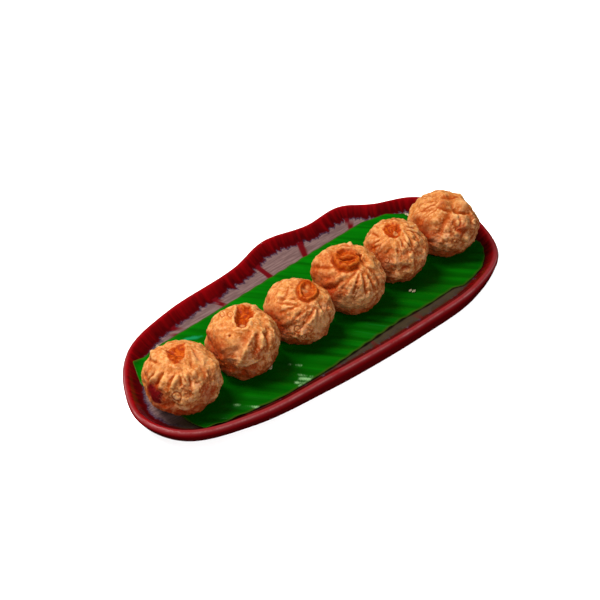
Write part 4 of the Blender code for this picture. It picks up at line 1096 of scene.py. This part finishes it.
def shape_momo(number):
    """Points of one dumpling, and the marks for its finish."""
    momo = MOMOS[number]
    size = np.array(momo.size)
    skin = body_skin(momo, ball_directions)
    outwards = unit(ball_directions / size)
    right, up, facing = skin @ SEEN_RIGHT, skin @ SEEN_UP, skin @ TOWARDS
    waver = cloud(skin, SLOW_SIZE, 2.0, momo.seed)
    fine_waver = cloud(skin, QUICK_SIZE, 2.0, 40.0 + momo.seed)
    rough = smooth_step(ROUGH_FROM, ROUGH_TO, up - ROUGH_LEAN * right + 6.0 * waver)
    low = smooth_step(LOW_FROM, LOW_TO, skin[:, 2] + 4.0 * waver)
    relief, fold = pleat_relief(momo, ball_directions, waver)
    golden = stain_mark(momo, "golden", skin, waver)
    for row in momo.strokes:
        stroke_relief(momo, Stroke(*row), skin, relief, fold)
    for row in momo.lumps:
        relief += lump_relief(momo, Lump(*row), skin)
    for row in momo.rings:
        relief += ring_relief(Ring(*row), right, up, facing, fold, golden)
    for row in momo.pockets:
        relief += pocket_relief(Pocket(*row), right, up, facing, golden, fine_waver)
    blisters, brown = blister_relief(momo, skin, rough)
    relief += blisters + SLOW_SHARE * waver + QUICK_SHARE * fine_waver - SWELL
    finest = cloud(skin, FINEST_SIZE, 2.0, 9.0 + momo.seed)
    relief += (FINEST_SHARE + FINEST_ROUGH_SHARE * rough) * finest
    points = skin + outwards * relief[:, None]
    points += np.array([momo.x, momo.y, MIDDLE_Z + SINK * size[2]])
    low_plane, high_plane = touching_planes(number)
    # Painted shade where a dumplings presses against its neighbour.
    touch_shade = np.zeros(len(points))
    if low_plane is not None:
        touch_shade = np.maximum(touch_shade, 1.0 - smooth_step(0.0, TOUCH_REACH, points[:, 0] - low_plane))
        points[:, 0] = soft_floor(points[:, 0], low_plane, TOUCH_SOFTNESS)
    if high_plane is not None:
        touch_shade = np.maximum(touch_shade, 1.0 - smooth_step(0.0, TOUCH_REACH, high_plane - points[:, 0]))
        points[:, 0] = -soft_floor(-points[:, 0], -high_plane, TOUCH_SOFTNESS)
    points[:, 2] = soft_floor(points[:, 2], BOTTOM_Z, BASE_SOFTNESS)
    marks = {"fine_hollow": hollowness(points, outwards, ball_pairs, FINE_ROUNDS),
             "wide_hollow": hollowness(points, outwards, ball_pairs, WIDE_ROUNDS),
             "fold": fold, "golden": golden, "touch_shade": touch_shade, "brown": brown,
             "rough": rough, "low": low,
             "burnt_and_hollow_shade": stain_mark(momo, "burnt_and_hollow_shade", skin, fine_waver),
             "seared_and_shaded": stain_mark(momo, "seared_and_shaded", skin, waver),
             "pale": stain_mark(momo, "pale", skin, waver)}
    return points, marks


# %% [markdown]
# ## The fried dough
# The colour is laid on in steps: a tan that varies in patches, orange and darker in the hollows
# and pale on the crests, partly painted shade and painted highlight, deep gold at the mouths,
# painted shade where dumplings touch, a lower side darker partly from frying and partly as
# painted shade, dark red in burnt patches and as painted shade in pits, and floury flecks low
# down. A thin film of oil makes the gloss uneven.

# %% Dough colours
def dough_finish():
    dough = Finish("fried dough")
    fine, wide = dough.mark("fine_hollow"), dough.mark("wide_hollow")
    golden, seared_and_shaded, burnt_and_hollow_shade = dough.mark("golden"), dough.mark("seared_and_shaded"), dough.mark("burnt_and_hollow_shade")
    rough, low = dough.mark("rough"), dough.mark("low")
    patches = dough.mottle(8.0, 3.0, 0.5)
    blotches = dough.mottle(4.5, 3.0, 0.55)
    mottles = dough.mottle(2.2, 4.0, 0.65)
    grains = dough.mottle(0.7, 3.0, 0.6)
    # Tan, from large patches down to grains, and blotched where the skin is rough, low and to the
    # right as seen; its darker tan and dark blotches there are partly painted shade.
    tan = dough.coats(
        (0.79, 0.325, 0.092),
        ((0.66, 0.215, 0.045), patches.step(0.40, 0.62)),
        ((0.52, 0.125, 0.020), mottles.step(0.46, 0.62) * 0.65),
        ((0.90, 0.50, 0.200), (1.0 - mottles.step(0.36, 0.46)) * 0.45),
        ((0.42, 0.078, 0.008), grains.step(0.55, 0.63) * 0.42),
        ((0.94, 0.54, 0.230), (1.0 - grains.step(0.36, 0.44)) * 0.30),
        ((0.68, 0.26, 0.100), rough.step(0.1, 1.0) * 0.5),
        ((0.40, 0.060, 0.006), blotches.step(0.47, 0.58) * (0.22 + 0.62 * rough)),
        ((0.84, 0.45, 0.240), (1.0 - blotches.step(0.38, 0.48)) * rough * 0.55))
    # Orange and darker in hollows and folds, partly the dough's colour and partly painted shade;
    # pale on crests, partly painted highlight; and some blisters brown.
    tan = dough.coats(
        tan,
        ((0.46, 0.085, 0.008), wide.step(0.06, 0.50) * 0.85),
        ((0.42, 0.068, 0.006), (dough.mark("fold") * 0.85).clipped()),
        ((0.34, 0.055, 0.005), fine.step(0.03, 0.16) * 0.6),
        ((0.92, 0.50, 0.210), (-fine).step(0.015, 0.12) * 0.55),
        ((0.88, 0.44, 0.160), (-wide).step(0.10, 0.60) * 0.45),
        ((0.42, 0.10, 0.018), dough.mark("brown").step(0.12, 0.45) * 0.5))
    # Darker low down, partly fried brown and partly painted shade; painted shade where dumplings
    # touch; and seared patches, partly seared crust and partly painted shade.
    # Seared patches: partly seared crust, partly painted shade.
    sear_and_shade = (seared_and_shaded * (2.0 * mottles + 0.8 * (blotches - 0.5))).clipped()
    tan = dough.coats(
        tan,
        # Lower side darker, partly fried brown and partly painted shade.
        ((0.33, 0.036, 0.002), low * 0.85),
        # Painted shade where dumplings touch.
        ((0.31, 0.030, 0.002), dough.mark("touch_shade") * 0.9),
        ((0.38, 0.030, 0.002), sear_and_shade * 0.85))
    # Deep gold in the mouths, darker in its hollows as painted shade and paler on its crests as
    # painted highlight, then pale and burnt patches, and floury flecks over all.
    gold = dough.coats(
        (0.52, 0.076, 0.003),
        ((0.34, 0.032, 0.0015), mottles.step(0.42, 0.58)),
        ((0.66, 0.150, 0.016), (1.0 - mottles.step(0.36, 0.46)) * 0.4),
        ((0.70, 0.19, 0.026), (-fine).step(0.03, 0.14) * 0.45),
        ((0.32, 0.034, 0.002), wide.step(0.1, 0.6) * 0.7),
        ((0.22, 0.022, 0.002), fine.step(0.03, 0.16) * 0.7))
    flecks = grains.step(0.56, 0.66) * rough.step(0.2, 1.0) * (1.0 - 0.7 * low)
    colour = dough.coats(
        tan,
        (gold, golden.step(0.0, 0.95)),
        # Pale patches: partly the dough's colour, partly painted highlight on blisters and lips,
        # and a painted lift of one shaded belly.
        ((0.78, 0.42, 0.17), dough.mark("pale")),
        # Dark red in burnt patches, and painted shade in pits, slits and pockets.
        ((0.150, 0.0025, 0.004), burnt_and_hollow_shade.step(0.05, 0.80)),
        ((0.76, 0.42, 0.20), flecks * 0.35))
    oil = mottles.step(0.35, 0.65)
    gloss = 0.66 - 0.16 * oil - 0.08 * golden - 0.08 * burnt_and_hollow_shade
    wet = (-fine).step(0.04, 0.14) * oil * 0.16
    bumps = dough.relief(mottles, 0.14)
    bumps = dough.relief(grains, 0.08, bumps)
    return dough.finish({"Specular IOR Level": 0.05, "Coat Roughness": 0.30,
                         "Subsurface Weight": 0.25, "Subsurface Radius": (2.0, 0.7, 0.25),
                         "Subsurface Scale": MM},
                        Base_Color=colour, Roughness=gloss, Coat_Weight=wet, Normal=bumps)


# %% Make the row
dough_paint = dough_finish()
for number in range(len(MOMOS)):
    points, marks = shape_momo(number)
    make_piece(f"fried_momo_{number + 1}", points, ball_faces, dough_paint,
               f"momo_{number + 1}", marks)

# %% [markdown]
# ## Crumbs
# A few crumbs of fried dough have broken off. Each is a small ball pushed out of shape by
# noise and set down on the leaf or against a dumpling.

# %% Scatter the crumbs
# Crumbs as (x, y, z, half sizes) in mm.
CRUMBS = [(55.7, -37.4, 12.1, (1.3, 0.6, 0.5)), (57.2, -39.3, 12.0, (1.4, 0.7, 0.5)),
          (-66.6, -32.6, 14.4, (1.0, 0.7, 0.6)), (-64.8, -31.0, 13.6, (0.8, 0.6, 0.5)),
          (120.5, 24.6, 12.4, (0.8, 2.0, 0.5)), (-103.5, 32.8, 13.2, (1.1, 0.7, 0.6))]
UNEVENNESS, CRUMB_CLOUD = 0.9, 0.9


def crumb_shapes():
    """All crumbs as one mesh."""
    directions, faces = round_ball(CRUMB_LEVELS)
    points, all_faces = [], []
    for x, y, z, size in CRUMBS:
        start = len(points)
        bulge = 1.0 + UNEVENNESS * cloud(directions, CRUMB_CLOUD, 3.0, x)
        points.extend(directions * np.array(size) * bulge[:, None] + np.array([x, y, z]))
        all_faces.extend(tuple(i + start for i in face) for face in faces)
    return points, all_faces


def crumb_finish():
    crumb = Finish("dough crumb")
    mottles = crumb.mottle(0.8, 3.0, 0.6)
    colour = crumb.tint((0.34, 0.30, 0.14), (0.62, 0.50, 0.36), mottles.step(0.4, 0.6))
    return crumb.finish({"IOR": 1.42}, Base_Color=colour, Roughness=0.5 + 0.3 * mottles,
                        Normal=crumb.relief(mottles, 0.15))


crumb_points, crumb_faces = crumb_shapes()
make_piece("crumbs", crumb_points, crumb_faces, crumb_finish(), None)

# %% [markdown]
# ## Table, light and camera
# The dish stands on a plain pale table. A soft warm light from behind on the left lights the
# tops and leaves the near sides in shade. A broad weak light in front and an even surround
# fill the shadows. Neither shows in the glossy glaze, and the table throws no light back, so
# the colours stay deep.

# %% The table
TABLE_SIDE = 6.0
table_mesh = bpy.data.meshes.new("table")
corner = TABLE_SIDE / 2
table_mesh.from_pydata([(-corner, -corner, 0), (corner, -corner, 0), (corner, corner, 0),
                        (-corner, corner, 0)], [], [(0, 1, 2, 3)])
table_paint = Finish("pale table")
pale_grain = table_paint.mottle(40.0, 2.0, 0.5)
table_mesh.materials.append(table_paint.finish(
    {}, Base_Color=table_paint.tint((0.90, 0.90, 0.90), (0.87, 0.87, 0.87), pale_grain),
    Roughness=0.7 + 0.1 * pale_grain))
table = bpy.data.objects.new("table", table_mesh)
bpy.context.collection.objects.link(table)


# %% The lights
AIM = (0.0, 0.0, 0.02)
KEY_TINT = (1.0, 0.97, 0.93)
SURROUND_STRENGTH = 0.22


def soft_light(name, place, side, power, colour=(1.0, 1.0, 1.0)):
    """A round lamp of this width in metres and power in watts, aimed at the dish."""
    lamp = bpy.data.lights.new(name, "AREA")
    lamp.shape = "DISK"
    lamp.size = side
    lamp.energy = power
    lamp.color = colour
    holder = bpy.data.objects.new(name, lamp)
    holder.location = place
    holder.rotation_euler = (Vector(AIM) - Vector(place)).to_track_quat("-Z", "Y").to_euler()
    bpy.context.collection.objects.link(holder)
    return holder


soft_light("key", (-0.43, 0.41, 1.18), 0.60, 20.0, KEY_TINT)
fill = soft_light("front fill", (-0.5, -1.2, 0.7), 1.2, 5.2)
fill.visible_glossy = False
world = bpy.data.worlds.new("surround")
world.use_nodes = True
background = world.node_tree.nodes["Background"]
background.inputs["Color"].default_value = (1.0, 1.0, 1.0, 1.0)
background.inputs["Strength"].default_value = SURROUND_STRENGTH
world.cycles_visibility.glossy = False
bpy.context.scene.world = world

# %% [markdown]
# A light from straight above that only reaches the table keeps the table pale under the dish,
# where the dish's own shadow would be darker than a pale studio sweep.

# %% The light on the table
table_only = bpy.data.collections.new("table only")
table_only.objects.link(table)
sweep_light = soft_light("sweep light", (0.0, 0.0, 2.5), 3.0, 90.0)
sweep_light.light_linking.receiver_collection = table_only
sweep_light.light_linking.blocker_collection = table_only
table.visible_diffuse = False
table.visible_glossy = False

# %% The camera
EYE_MM, LOOK_MM = (-459.02, -468.55, 525.48), (-3.23, 7.43, 10.6)
LENS_MM, SENSOR_MM = 75.68, 36.0
lens = bpy.data.cameras.new("photo view")
lens.lens = LENS_MM
lens.sensor_width = SENSOR_MM
camera = bpy.data.objects.new("photo view", lens)
camera.location = Vector(EYE_MM) * MM
camera.rotation_euler = (Vector(LOOK_MM) - Vector(EYE_MM)).to_track_quat("-Z", "Y").to_euler()
bpy.context.collection.objects.link(camera)
bpy.context.scene.camera = camera
bpy.context.scene.view_settings.view_transform = "Standard"
